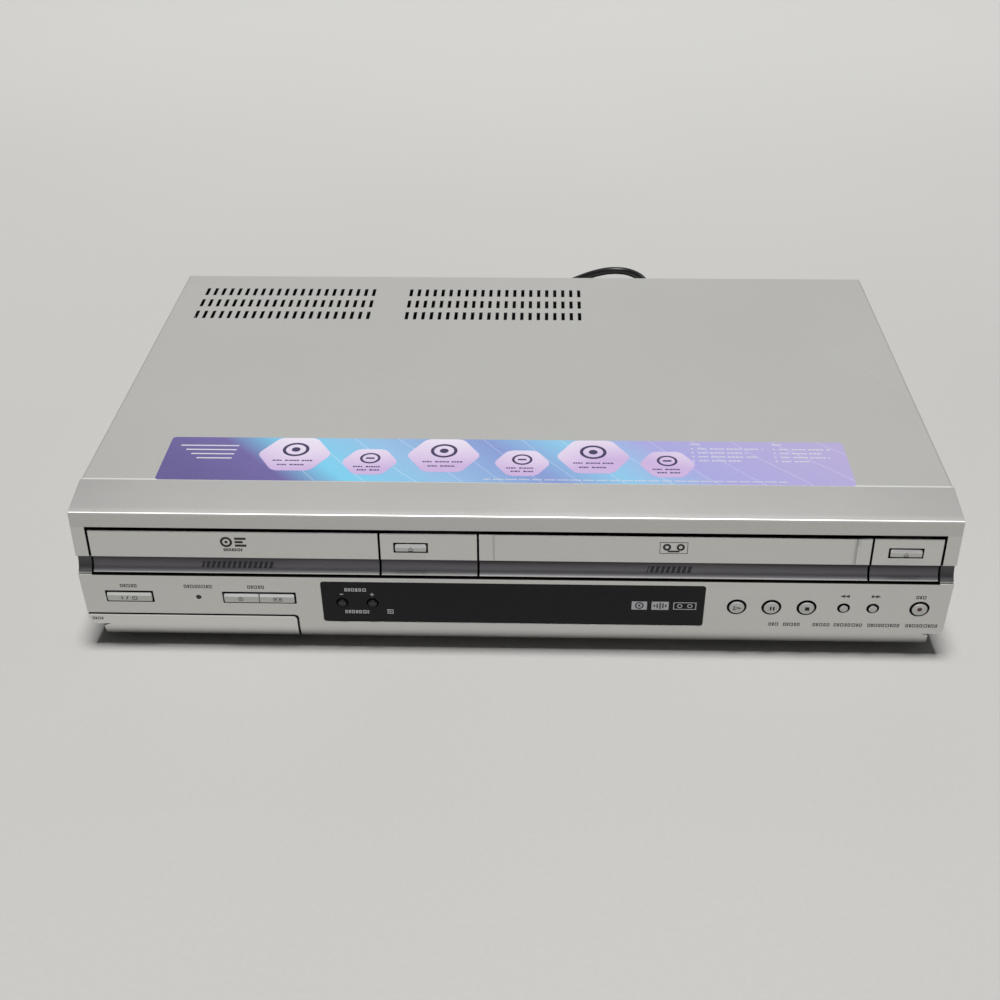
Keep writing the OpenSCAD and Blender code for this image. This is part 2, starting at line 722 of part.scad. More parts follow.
module channel_key(x) color(black) on_lower_face(x, channel_z) round_key(channel_d);
module channel_down_button() channel_key(channel_down_x);
module channel_up_button() channel_key(channel_up_x);
module play_button() color(silver) on_lower_face(play_x, round_z) round_key(play_d);
module pause_button() color(silver) on_lower_face(pause_x, round_z) round_key(play_d);
module stop_button() color(silver) on_lower_face(stop_x, round_z) round_key(play_d);
module rewind_button() color(silver) on_lower_face(rewind_x, round_z) round_key(wind_d);
module fast_forward_button() color(silver) on_lower_face(forward_x, round_z) round_key(wind_d);
module record_button() color(silver) on_lower_face(record_x, round_z) round_key(play_d);

lamp_r = 1;
module progressive_lamp() color([0.1, 0.1, 0.1]) on_lower_face(lamp_x, bar_z) {
    translate([0, 0, -7]) cylinder(h = 7, r = lamp_r);
    translate([0, 0, -board_in]) cylinder(h = board_in - 6, r = lamp_r + 0.5);
}

module display_window() color(black) difference() {
    on_lower_face(0, window_z) translate([0, 0, -window_t - 0.2]) linear_extrude(window_t) window_view(0);
    for (x = [channel_down_x, channel_up_x])
        on_lower_face(x, channel_z) translate([0, 0, -8]) cylinder(h = 12, r = channel_d / 2 + key_gap);
}

// Tape door, flap and tray door -----------------------------------------------------------------

door_boss_r = 1.8;
door_pin_len = 3.2;
spring_seat_r = 1.1;
window_line_x = 87.4;   // fine upright line near each end of the tape door, from its middle

module vhs_door() color(silver) difference() {
    y = door_axis[0];
    z = door_axis[1];
    union() {
        insert(tape_door_x, tape_door_w);
        // arms that reach up to the hinge pins
        for (s = [-1, 1]) {
            x0 = s > 0 ? tape_door_x + tape_door_w - door_arm : tape_door_x;
            x1 = x0 + door_arm;
            along_x(x0, x1) polygon([[insert_back_y - 0.6, insert_top - 6],
                [insert_back_y + 2.2, insert_top - 6], [y + door_boss_r, z], [y - door_boss_r, z],
                [insert_back_y - 1.1, insert_top - eps]]);
            bar_x(x0, x1, y, z, door_boss_r);
            bar_x(s > 0 ? x0 : x0 - door_pin_len, s > 0 ? x1 + door_pin_len : x1, y, z, door_pin_r);
        }
        // seat of the spring
        bar_x(tape_door_x + door_arm - eps, tape_door_x + door_arm + 7, y, z, spring_seat_r);
    }
    for (s = [-1, 1]) box([tape_x + s * window_line_x - 0.3, face_y - 1, lip_z + 0.4],
        [tape_x + s * window_line_x + 0.3, face_y + 0.35, insert_top + 1]);
}

spring_wire = 0.5;
module vhs_door_spring() color("silver") {
    turns = 4;
    steps = 12;
    r = spring_seat_r + slide_gap + spring_wire / 2;
    x0 = tape_door_x + door_arm + 0.8;
    last = turns * steps + steps / 4;
    coil = [for (i = [0 : last]) let (a = 360 * i / steps)
        [x0 + i / steps * (spring_wire + 0.25), door_axis[0] - r * sin(a), door_axis[1] + r * cos(a)]];
    // the free leg lies against the back of the door
    leg = [for (p = [[door_axis[0] - r + 0.2, -2.2], [insert_back_y - 0.1, -4.3],
        [insert_back_y + 0.5, -6.4], [insert_back_y + 0.6, -12]])
        [coil[last][0], p[0], door_axis[1] + p[1]]];
    sweep(concat(coil, leg), spring_wire / 2, 6, [1, 0, 0]);
}

flap_boss_r = 1.8;
flap_arm_half = 1.2;
flap_arm_in = flap_ear_half + flap_arm_half + 0.5;

module front_jack_door() color(silver) {
    y = flap_axis[0];
    z = flap_axis[1];
    difference() {
        intersection() {
            along_x(left_x, flap_right_x - seam / 2) polygon(front_side());
            along_y(front_y - 5, front_y + 30) intersection() {
                front_view();
                flap_view(-seam / 2);
            }
            // behind the hinge the flap is cut away
            along_x(left_x - 1, flap_right_x + 1) polygon([[front_y - 5, 0], [flap_lip_y, 0],
                [flap_lip_y, foot_h + 6], [front_y + 11, 40], [front_y - 5, 40]]);
        }
        intersection() {
            along_x(left_x + flap_t, right_x) polygon(concat(
                [[front_y + 40, 60], [front_y + 40, foot_h + flap_t]],
                [for (i = [10 : -1 : 0]) chin_curve(flap_t)[i]], [[face_at(40) + flap_t, 40]]));
            along_y(front_y - 5, front_y + 40) front_view(flap_t);
        }
    }
    // hinge arms with their pins
    for (s = [-1, 1]) {
        x = s < 0 ? flap_ears[0] - flap_arm_in : flap_ears[1] + flap_arm_in;
        along_x(x - flap_arm_half, x + flap_arm_half) polygon([[flap_lip_y - 1.2, foot_h + 1.8],
            [y, z - flap_boss_r], [y + flap_boss_r, z], [y, z + flap_boss_r],
            [flap_lip_y - 3.5, foot_h + 5.5]]);
        bar_x(x - flap_arm_half, x + flap_arm_half, y, z, flap_boss_r);
        bar_x(s < 0 ? x : x - 5, s < 0 ? x + 5 : x, y, z, jack_pin_r);
    }
}

// Sockets and boards ------------------------------------------------------------------------------

// phono socket that faces -Y from y0, with its sleeve len long
module phono(x, y0, z, len) difference() {
    bar_y(y0, y0 + len, x, z, phono_r);
    bar_y(y0 - 1, y0 + len - 2, x, z, 1.6);
}

module front_jacks() color(black) {
    for (x = front_jack_x) phono(x, jack_back_y - 8.5, front_jack_z, 8.5 + 3);
    box([front_jack_x[0] - 8, jack_back_y + 2 + slide_gap, board_z + board_t + eps],
        [front_jack_x[2] + 8, jack_back_y + 14, front_jack_z + 7]);
}

phono_pitch = 14;
phono_x = [for (i = [0 : 6]) -6 + i * phono_pitch];
phono_z = [24, 40];
s_video_x = phono_x[6] + 16;
s_video_r = 5.5;
aerial_x = right_x - 22;
aerial_r = 4.7;
aerial_z = [22, 42];
gland_r = 5;

module rear_jacks() color(black) {
    back = rear_face_y - sheet - slide_gap;
    for (x = phono_x, z = phono_z)
        translate([x, 0, z]) mirror([0, 1, 0]) phono(0, -rear_y, 0, socket_len + 4);
    difference() {
        bar_y(rear_face_y - 4, rear_face_y + 2, s_video_x, phono_z[0], s_video_r);
        bar_y(rear_face_y - 0.5, rear_face_y + 5, s_video_x, phono_z[0], s_video_r - 1);
    }
    box([phono_x[0] - 7, back - 14, board_z + board_t + eps], [s_video_x + 8, back, phono_z[1] + 8]);
}

module tuner_module() color(steel) {
    back = rear_face_y - sheet - slide_gap;
    box([aerial_x - 13, back - 79, board_z + board_t + eps], [aerial_x + 13, back, aerial_z[1] + 8]);
    for (z = aerial_z) difference() {
        union() {
            bar_y(rear_face_y - 2, rear_y - 0.5, aerial_x, z, aerial_r);
            bar_y(rear_face_y - 2, rear_face_y + 1, aerial_x, z, aerial_r + 0.5);
        }
        bar_y(rear_y - 3, rear_y + 1, aerial_x, z, aerial_r - 0.8);
        bar_y(rear_y - 7, rear_y + 1, aerial_x, z, 0.8);
    }
}

module key_board() color(board_green) {
    zc = 34;
    on_lower_face(0, zc) translate([0, 0, -board_in - board_t]) linear_extrude(board_t) difference() {
        union() {
            translate([left_x + 8, 23.5 - zc]) square([body_w - 16, 20]);
            translate([flap_right_x + 8, 12 - zc]) square([right_x - flap_right_x - 20, 20]);
        }
    }
    for (k = ring_keys) key_switch(k[0], round_z);
    for (x = [power_x, select_x - select_w / 4, select_x + select_w / 4]) key_switch(x, bar_z);
    for (x = [channel_down_x, channel_up_x]) key_switch(x, channel_z);
    // two small boards behind the eject buttons
    for (x = [disc_eject_x, tape_eject_x]) {
        box([x - 13, eject_board_y, eject_z - 12], [x + 13, eject_board_y + board_t, eject_z + 6]);
        box([x - switch_w / 2, face_y + eject_deep + key_travel + slide_gap, eject_z - switch_w / 2],
            [x + switch_w / 2, eject_board_y + eps, eject_z + switch_w / 2]);
    }
}

module key_switch(x, z) on_lower_face(x, z) translate([-switch_w / 2, -switch_w / 2, -board_in - eps])
    cube([switch_w, switch_w, switch_h]);

module display_tube() color([0.12, 0.16, 0.17]) on_lower_face(10, window_z) {
    translate([-55, -9, -board_in + slide_gap]) cube([110, 18, 5.4]);
    for (i = [0 : 19]) translate([-50 + i * 5, -9.3, -board_in + 1]) cube([0.6, 0.6, 3]);
}

chips = [[-150, -60, 28, 28, 2.4], [-110, 10, 20, 14, 2], [-40, -70, 18, 18, 2.4],
    [-36, -20, 24, 12, 3], [-44, 40, 16, 10, 8], [-40, 95, 20, 12, 12], [20, -60, 22, 22, 2.4],
    [100, -70, 30, 20, 3], [150, 60, 24, 18, 4]];
power_right_x = disc_x + frame_half - 5;
power_front_y = rear_face_y - 66;

module main_board() color(board_green) {
    x0 = left_x + 6;
    x1 = right_x - 4;
    y0 = panel_back_y + 8;
    y1 = rear_face_y - 3;
    inner_x = power_right_x + 12;
    difference() {
        board([[x0, y0], [x1, y0], [x1, y1], [inner_x, y1], [inner_x, power_front_y - 4],
            [x0, power_front_y - 4]]);
        for (p = concat(frame_posts, deck_posts)) post(p[0], p[1], 0, 60, leg_r + 0.7);
    }
    // chips, connectors and a row of capacitors
    for (c = chips) translate([c[0] - c[2] / 2, c[1] - c[3] / 2, board_z + board_t - eps])
        cube([c[2], c[3], c[4]]);
    for (x = [-30 : phono_pitch : 54])
        post(x, rear_face_y - 22, board_z + board_t - eps, board_z + board_t + 7, 3);
}

module board(p) translate([0, 0, board_z]) linear_extrude(board_t) polygon(p);

core_h = 10;
coil_block_h = 22;
capacitors = [[-36, 22, 11, 34], [-10, 14, 6.5, 22], [-10, 32, 6.5, 22], [56, 14, 5, 18],
    [56, 28, 5, 18], [56, 42, 5, 18]];

module power_board() {
    z0 = board_z + board_t - eps;
    y0 = power_front_y;
    y1 = rear_face_y - 3;
    color(board_green) board([[left_x + 6, y0], [power_right_x, y0], [power_right_x, y1],
        [left_x + 6, y1]]);
    // transformer: a core in two halves around its winding
    color([0.75, 0.7, 0.3]) {
        translate([disc_x + 6, y0 + 14, z0]) cube([38, 34, core_h]);
        translate([disc_x + 6, y0 + 14, z0 + core_h + coil_block_h - 2 * eps]) cube([38, 34, 8]);
    }
    color(black) translate([disc_x + 2, y0 + 20, z0 + core_h - eps]) cube([46, 22, coil_block_h]);
    color(black) for (c = capacitors) post(disc_x + c[0], y0 + c[1], z0, z0 + c[3], c[2]);
    // heat sink with fins
    color(steel) {
        translate([disc_x - 66, y0 + 6, z0]) cube([3, 44, 36]);
        for (i = [0 : 4]) translate([disc_x - 63 - eps, y0 + 7 + i * 10, z0]) cube([9, 2, 36]);
    }
    // fuse holder
    color("white") translate([disc_x - 44, y0 + 48, z0]) cube([24, 7, 8]);
}

// Disc drive --------------------------------------------------------------------------------------

pivot_r = 2;

module loader_frame() color(black) {
    hollow = tray_half + 1.5;
    groove = tray_half + tray_flange + slide_gap;
    pivot_x = window_half + 3;
    y1 = frame_rear_y - 3;
    difference() {
        union() {
            difference() {
                box([disc_x - frame_half, frame_front_y, frame_z],
                    [disc_x + frame_half, frame_rear_y, frame_top]);
                box([disc_x - hollow, frame_front_y - 5, frame_z + frame_floor],
                    [disc_x + hollow, y1, frame_top + 5]);
                // side grooves for the tray's flanges
                box([disc_x - groove, frame_front_y - 5, tray_z],
                    [disc_x + groove, y1, tray_z + flange_t + 0.8]);
                // window for the traverse
                box([disc_x - window_half, traverse_front_y - 2, frame_z - 5],
                    [disc_x + window_half, traverse_rear_y + 1, frame_z + 10]);
            }
            // legs that stand on the floor
            for (p = frame_posts) post(p[0], p[1], floor_z + sheet, frame_z + eps, leg_r);
            // pin for the tray gear
            post(gear_x, gear_y, frame_z, gear_z - slide_gap, 3);
            post(gear_x, gear_y, frame_z, gear_z + gear_t, rod_r);
            // bearings of the traverse
            for (s = [-1, 1]) box([disc_x + s * pivot_x - 3, swing_y - 4, frame_z],
                [disc_x + s * pivot_x + 3, swing_y + 4, swing_z + 4]);
        }
        bar_x(disc_x - pivot_x - 7, disc_x + pivot_x + 7, swing_y, swing_z, pivot_r + shaft_gap);
    }
}

gear_z = tray_z - rack_depth - 0.4;

slot_end_y = tray_rear_y + 5;
rack_end = 6;        // width of the rack's bar outside its pitch line
small_disc_r = 41;

// straight teeth that mesh with the tray gear
module rack() intersection() {
    z0 = tray_z - rack_depth;
    foot = rack_tooth + 0.47;
    tip = rack_tooth - 0.46;
    box([rack_x - rack_module, gear_y - 5, z0], [rack_x + rack_end, tray_rear_y, tray_z + eps]);
    union() {
        box([rack_x + rack_module * 1.25, gear_y - 5, z0], [rack_x + rack_end, tray_rear_y, tray_z + eps]);
        for (i = [-1 : rack_teeth]) translate([rack_x, gear_y + (i + 0.5) * rack_pitch, z0])
            linear_extrude(rack_depth + eps) polygon([[rack_module * 1.3, -foot],
                [rack_module * 1.3, foot], [-rack_module, tip], [-rack_module, -tip]]);
    }
}

module disc_tray() color([0.14, 0.14, 0.15]) difference() {
    flange = tray_half + tray_flange;
    floor_top = tray_top - well_depth;
    union() {
        box([disc_x - tray_half, tray_front_y, tray_z], [disc_x + tray_half, tray_rear_y, tray_top]);
        box([disc_x - flange, frame_front_y - 1, tray_z + 0.4],
            [disc_x + flange, tray_rear_y, tray_z + 0.4 + flange_t]);
        rack();
    }
    // well for the disc, with a step for small discs
    post(disc_x, well_y, floor_top, tray_top + 5, well_r);
    post(disc_x, well_y, floor_top - 1.2, tray_top, small_disc_r);
    // slot for the turntable and the pickup, open at the rear
    post(disc_x, well_y, tray_z - 5, tray_top + 5, slot_half);
    box([disc_x - slot_half, well_y, tray_z - 5], [disc_x + slot_half, slot_end_y, tray_top + 5]);
    // shallow hollows in the rear corners
    for (s = [-1, 1]) box([disc_x + s * 45 - 12, well_y + 75, tray_top - 4],
        [disc_x + s * 45 + 12, tray_rear_y - 8, tray_top + 1]);
}

rack_pitch = PI * rack_module;
rack_tooth = rack_pitch / 4 - 0.12;
rack_teeth = floor((tray_rear_y - gear_y) / rack_pitch) - 2;

// outline of one gear tooth, counted from the root before it
function tooth(i) = [for (p = [[root_r, -1.25 * rack_tooth], [pitch_r, -rack_tooth],
    [tip_r, -0.45 * rack_tooth], [tip_r, 0.45 * rack_tooth], [pitch_r, rack_tooth],
    [root_r, 1.25 * rack_tooth]]) let (a = i * 360 / gear_teeth)
    [p[0] * cos(a) - p[1] * sin(a), p[0] * sin(a) + p[1] * cos(a)]];
root_r = pitch_r - 1.25 * rack_module;
tip_r = pitch_r + 0.9 * rack_module;

module tray_gear() color("ivory") translate([gear_x, gear_y, gear_z]) difference() {
    linear_extrude(gear_t) polygon([for (i = [0 : gear_teeth - 1], p = tooth(i)) p]);
    translate([0, 0, -1]) cylinder(h = gear_t + 2, r = rod_r + shaft_gap);
}

module loading_motor() color(steel) {
    x = disc_x - 40;
    y = gear_y + 1;
    post(x, y, frame_z + frame_floor, gear_z - 4, 9);
    post(x, y, gear_z - 4 - eps, gear_z + gear_t, 1);
    post(x, y, gear_z - 1, gear_z + gear_t - 0.5, 4);
}

spindle_r = 1.25;
rod_front_y = well_y + 12;
rod_rear_y = pickup_y + pickup_travel + 18;

module traverse_frame() color(steel) {
    top = traverse_z + traverse_t - eps;
    difference() {
        box([disc_x - traverse_half, traverse_front_y, traverse_z],
            [disc_x + traverse_half, traverse_rear_y, traverse_z + traverse_t]);
        box([disc_x - 30, well_y + 15, traverse_z - 5], [disc_x + 30, rod_rear_y + 2, traverse_z + 10]);
        post(disc_x, well_y, traverse_z - 5, traverse_z + 10, 2.2);
    }
    // pivots at the rear
    for (s = [-1, 1]) {
        x = disc_x + s * (traverse_half - 2);
        box([x - 2, swing_y - 3, top], [x + 2, swing_y + 3, swing_z + 3]);
        bar_x(s > 0 ? x : x - 10, s > 0 ? x + 10 : x, swing_y, swing_z, pivot_r);
    }
    // blocks and rods that guide the pickup
    for (s = [-1, 1]) {
        x = disc_x + s * rod_x;
        for (y = [rod_front_y, rod_rear_y]) box([x - 4, y, top], [x + 4, y + 4, rod_z + 3]);
        bar_y(rod_front_y - eps, rod_rear_y + 4 + eps, x, rod_z, rod_r);
    }
    // spindle motor under the turntable
    difference() {
        post(disc_x, well_y, top, tray_z - 1, 11);
        post(disc_x, well_y, traverse_z, tray_z + 5, spindle_r + shaft_gap);
    }
}

module turntable() color(black) translate([disc_x, well_y, 0]) {
    seat = tray_top - 2.3;
    post(0, 0, traverse_z + 1, seat, spindle_r);
    difference() {
        post(0, 0, tray_z + 1, seat, turntable_r);
        translate([0, 0, seat - 0.5]) difference() {
            cylinder(h = 1, r = turntable_r - 1);
            translate([0, 0, -1]) cylinder(h = 3, r = turntable_r - 4);
        }
    }
    translate([0, 0, seat - eps]) cylinder(h = 2, r1 = 7.4, r2 = 6);
}

module pickup_sled() color([0.2, 0.2, 0.22]) translate([disc_x, pickup_y, 0]) {
    difference() {
        union() {
            box([-20, -14, rod_z - 4], [20, 16, rod_z + 3.5]);
            for (s = [-1, 1]) box([s > 0 ? 19 : -28, -12, rod_z - 3], [s > 0 ? 28 : -19, 12, rod_z + 3]);
            post(0, -6, rod_z + 3, tray_top - 5, 6);
        }
        for (s = [-1, 1]) bar_y(-20, 20, s * rod_x, rod_z, rod_r + shaft_gap);
    }
    post(0, -6, tray_top - 5 - eps, tray_top - 4, 3.6);
}

bridge_z = tray_top + 3.5;
bridge_half = 32;
bridge_deep = 14;

// sheet bridge over the tray, dished down around the clamper
module clamp_bridge() color(steel) difference() {
    y0 = well_y - bridge_deep;
    y1 = well_y + bridge_deep;
    high = frame_top + rail_t;
    union() {
        box([disc_x - frame_half, y0, frame_top], [disc_x + frame_half, y1, high]);
        box([disc_x - bridge_half, y0, bridge_z], [disc_x + bridge_half, y1, bridge_z + rail_t]);
        for (s = [-1, 1]) box([disc_x + s * bridge_half - rail_t / 2, y0, bridge_z],
            [disc_x + s * bridge_half + rail_t / 2, y1, high]);
    }
    box([disc_x - bridge_half + rail_t / 2, y0 - 5, frame_top - 1],
        [disc_x + bridge_half - rail_t / 2, y1 + 5, frame_top + 5]);
    post(disc_x, well_y, bridge_z - 5, frame_top + 5, 9.5);
}

module disc_clamper() color(black) translate([disc_x, well_y, 0]) difference() {
    union() {
        post(0, 0, tray_top - 0.8, bridge_z - 0.5, 16.5);
        post(0, 0, bridge_z - 0.5 - eps, bridge_z + 2, 8);
        post(0, 0, bridge_z + 1.6, bridge_z + 3, 12);
    }
    post(0, 0, tray_top - 2, tray_top + 1.2, 8.6);
}

// Tape drive ----------------------------------------------------------------------------------------

// local frame at a tape guide's start, x along its way
module at_guide(s) {
    a = [tape_x + s * guide_dx[0], guide_y[0]];
    d = [tape_x + s * guide_dx[1], guide_y[1]] - a;
    translate([a[0], a[1], 0]) rotate(atan2(d[1], d[0])) children();
}
guide_way = norm([guide_dx[1] - guide_dx[0], guide_y[1] - guide_y[0]]);
reel_pin_r = 2;
side_top = carrier_top + 6;

module deck_plate() color(steel) {
    outer = side_in + rail_t;
    difference() {
        union() {
            box([tape_x - outer, deck_front_y, deck_z], [tape_x + outer, deck_rear_y, deck_top]);
            for (x = [tape_x - outer, tape_x + side_in])
                box([x, deck_front_y, deck_z], [x + rail_t, reel_y + 96, side_top]);
        }
        for (s = [-1, 1]) at_guide(s) translate([-6, -3.2, deck_z - 5]) cube([guide_way + 12, 6.4, 10]);
        post(capstan_at[0], capstan_at[1], 0, 60, capstan_r + shaft_gap);
    }
    // legs that stand on the floor
    for (p = deck_posts) post(p[0], p[1], floor_z + sheet, deck_z + eps, leg_r);
    // pins for the reels and the pinch arm
    for (s = [-1, 1])
        post(tape_x + s * reel_pitch / 2, reel_y, deck_top - eps, deck_top + 14, reel_pin_r);
    post(pinch_pivot[0], pinch_pivot[1], deck_top - eps, deck_top + 12, reel_pin_r);
    // erase head and sound head on their posts
    for (h = [erase_head, sound_head]) {
        post(h[0], h[1], deck_top - eps, deck_top + 4, 5);
        box([h[0] - 4, h[1] - 5, deck_top + 3], [h[0] + 4, h[1] + 5, deck_top + 22]);
    }
}

module drum_frame() translate([tape_x, drum_y, deck_top]) rotate([-drum_tilt, 0, 0]) children();

module lower_drum() color("silver") {
    difference() {
        union() {
            drum_frame() translate([0, 0, 5]) cylinder(h = 17, r = drum_r);
            box([tape_x - 18, drum_y - 18, deck_top], [tape_x + 18, drum_y + 18, deck_top + 9]);
        }
        drum_frame() translate([0, 0, -20]) cylinder(h = 80, r = 3 + shaft_gap);
    }
}

module head_drum() color("silver") drum_frame() difference() {
    union() {
        translate([0, 0, 22.3]) cylinder(h = 15, r = drum_r);
        translate([0, 0, 4]) cylinder(h = 38, r = 3);
        translate([0, 0, 37]) cylinder(h = 3, r1 = 12, r2 = 10);
    }
    for (a = [0 : 60 : 300]) rotate(a) translate([21, 0, 33]) cylinder(h = 10, r = 3);
    for (a = [0 : 90 : 270]) rotate(a) translate([drum_r - 1.2, -2, 22]) cube([3, 4, 2]);
}

module capstan() color("silver") translate([capstan_at[0], capstan_at[1], 0]) {
    post(0, 0, board_z + board_t + 4, shaft_top, capstan_r);
    difference() {
        post(0, 0, board_z + board_t + 4.2, deck_z - shoe_deep - 2 * slide_gap, flywheel_r);
        for (a = [0 : 60 : 300]) rotate(a) translate([14, 0, 0]) post(0, 0, 0, 60, 4.5);
    }
}

pinch_tip = pinch_pivot + pinch_arm_len * [cos(pinch_rest), sin(pinch_rest)];

pinch_pin_r = 1.2;

module pinch_arm() color(steel) {
    z0 = deck_top + slide_gap;
    difference() {
        union() {
            post(pinch_pivot[0], pinch_pivot[1], z0, deck_top + 10, 4);
            translate([pinch_pivot[0], pinch_pivot[1], z0]) rotate(pinch_rest)
                translate([0, -pinch_half, 0]) cube([pinch_arm_len, 2 * pinch_half, 2]);
            post(pinch_tip[0], pinch_tip[1], z0, deck_top + 2.3, pinch_half + 0.6);
        }
        post(pinch_pivot[0], pinch_pivot[1], 0, 80, reel_pin_r + shaft_gap);
    }
    post(pinch_tip[0], pinch_tip[1], deck_top + 2.3 - eps, shaft_top - 3, pinch_pin_r);
}

module pinch_roller() color(black) difference() {
    post(pinch_tip[0], pinch_tip[1], deck_top + 2.6, shaft_top - 4, pinch_r);
    post(pinch_tip[0], pinch_tip[1], 0, 80, pinch_pin_r + shaft_gap);
}

module reel(x) translate([x, reel_y, 0]) {
    z = deck_top + slide_gap;
    difference() {
        union() {
            post(0, 0, z, z + 3, 17);
            post(0, 0, z + 3 - eps, z + 16, 6.5);
            for (a = [0, 120, 240]) rotate(a) box([5, -1, z + 3 - eps], [9, 1, z + 13]);
            translate([0, 0, z + 16 - eps]) cylinder(h = 2.5, r1 = 6.5, r2 = 3);
        }
        post(0, 0, 0, z + 15, reel_pin_r + shaft_gap);
        for (a = [0 : 30 : 330]) rotate(a) translate([13, 0, 0]) post(0, 0, 0, 60, 1.6);
    }
}
module supply_reel() color("ivory") reel(tape_x - reel_pitch / 2);
module takeup_reel() color("ivory") reel(tape_x + reel_pitch / 2);

// tape guide post on its shoe, which slides in a slot of the deck
module tape_guide(s) at_guide(s) {
    translate([-5, -7, deck_top + slide_gap]) cube([10, 14, 3.5]);
    translate([-4, -2.9, deck_z - shoe_deep]) cube([8, 5.8, deck_t + shoe_deep + 0.5]);
    translate([-5, -5, deck_z - shoe_deep - slide_gap]) cube([10, 10, shoe_deep]);
    post(0, 0, deck_top + 3, shaft_top - 4, 3);
    post(0, 0, shaft_top - 4 - eps, shaft_top - 2, 4);
}
module supply_guide() color("silver") tape_guide(-1);
module takeup_guide() color("silver") tape_guide(1);

carrier_pin_y = [carrier_front_y + 12, carrier_front_y + 40];
carrier_pin_z = carrier_top - 4;
carrier_pin_r = 1.5;
carrier_ledge = 16;      // width of the ledge under each end of the cassette

module carrier_slider() color(steel) {
    y0 = carrier_front_y + 4;
    y1 = y0 + 44;
    bar_z1 = carrier_top + 4;
    slot = carrier_pin_r + slide_gap;
    outer = slider_in + rail_t;
    difference() {
        union() {
            for (x = [tape_x - outer, tape_x + slider_in])
                box([x, y0, carrier_z - 4], [x + rail_t, y1, bar_z1]);
            box([tape_x - outer, y0 + 12, bar_z1 - rail_t], [tape_x + outer, y1 - 12, bar_z1]);
        }
        // upright slots for the carrier's pins
        for (s = [-1, 1], y = carrier_pin_y)
            box([tape_x + s * slider_in - 5, y - slot, carrier_pin_z - carrier_drop - slot],
                [tape_x + s * slider_in + 5, y + slot, carrier_pin_z + slot]);
    }
}

module cassette_carrier() color(steel) {
    y0 = carrier_front_y;
    y1 = y0 + carrier_len;
    outer = carrier_half + rail_t;
    for (s = [-1, 1]) {
        x = tape_x + s * (carrier_half + rail_t / 2);
        pin_x = tape_x + s * slider_in;
        ledge_x = tape_x + s * (carrier_half + 1 - carrier_ledge / 2);
        box([x - rail_t / 2, y0, carrier_z], [x + rail_t / 2, y1, carrier_top]);
        box([ledge_x - carrier_ledge / 2, y0, carrier_z], [ledge_x + carrier_ledge / 2, y1, carrier_z + 1]);
        for (y = carrier_pin_y)
            bar_x(pin_x - rail_t, pin_x + rail_t, y, carrier_pin_z, carrier_pin_r);
    }
    difference() {
        box([tape_x - outer, y0, carrier_top - rail_t], [tape_x + outer, y1, carrier_top]);
        box([tape_x - 60, y0 + 14, carrier_top - 3], [tape_x + 60, y1 - 14, carrier_top + 3]);
    }
}

// Mains lead ------------------------------------------------------------------------------------------

module at_exit() translate([gland_x, exit_y, 0]) children();

module cord_gland() color(black) {
    bar_y(rear_face_y - 4, rear_face_y + eps, gland_x, gland_z, gland_r);
    bar_y(rear_face_y, rear_face_y + 3, gland_x, gland_z, gland_r + 2.5);
    translate([gland_x, rear_face_y + 3 - eps, gland_z]) rotate([-90, 0, 0])
        cylinder(h = relief_len - 3 + eps, r1 = gland_r, r2 = cord_d / 2 + 0.7);
}

module power_cord() color(black) at_exit() sweep(doubled(route), cord_d / 2, 10);

module cord_coil() color(black) at_exit() translate([coil_at[0], coil_at[1], 0])
    rotate_extrude() translate([coil_r[0], 0]) square([coil_r[1] - coil_r[0], coil_h]);

module power_plug() at_exit() translate([plug_x, plug_y, plug_z]) {
    color(black) {
        rotate([0, 90, 0]) cylinder(h = 20, r1 = cord_d / 2 + 0.6, r2 = 5.5);
        translate([20 - eps, -11, -plug_z]) cube([22, 22, 2 * plug_z]);
    }
    color("silver") for (s = [-1, 1])
        translate([42 - 2 * eps, s * 6.35 - 0.75, -3.2]) cube([16, 1.5, 6.4]);
}

top_cover();
bottom_chassis();
rear_panel();
feet();
front_bezel();
groove_ends();
display_window();
tray_door();
dvd_eject_panel();
dvd_eject_button();
vhs_door();
vhs_door_spring();
vhs_eject_panel();
vhs_eject_button();
power_button();
dvd_select_button();
video_select_button();
channel_down_button();
channel_up_button();
play_button();
pause_button();
stop_button();
rewind_button();
fast_forward_button();
record_button();
progressive_lamp();
front_jack_door();
front_jacks();
cover_screws();
key_board();
display_tube();
main_board();
power_board();
rear_jacks();
tuner_module();
loader_frame();
disc_tray();
tray_gear();
loading_motor();
traverse_frame();
turntable();
pickup_sled();
clamp_bridge();
disc_clamper();
deck_plate();
lower_drum();
head_drum();
capstan();
pinch_arm();
pinch_roller();
supply_reel();
takeup_reel();
supply_guide();
takeup_guide();
carrier_slider();
cassette_carrier();
power_cord();
cord_coil();
power_plug();
cord_gland();
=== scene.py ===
# %% [markdown]
# A disc and cassette player, dressed in Blender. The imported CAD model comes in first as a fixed
# frame, in metres: x to the right, y to the back, z up from the table. Everything made below
# rides on one of its bodies, so the tray, doors and buttons still move.

# %% Load the frame
import json
import math

import bmesh
import bpy
from mathutils import Matrix, Vector

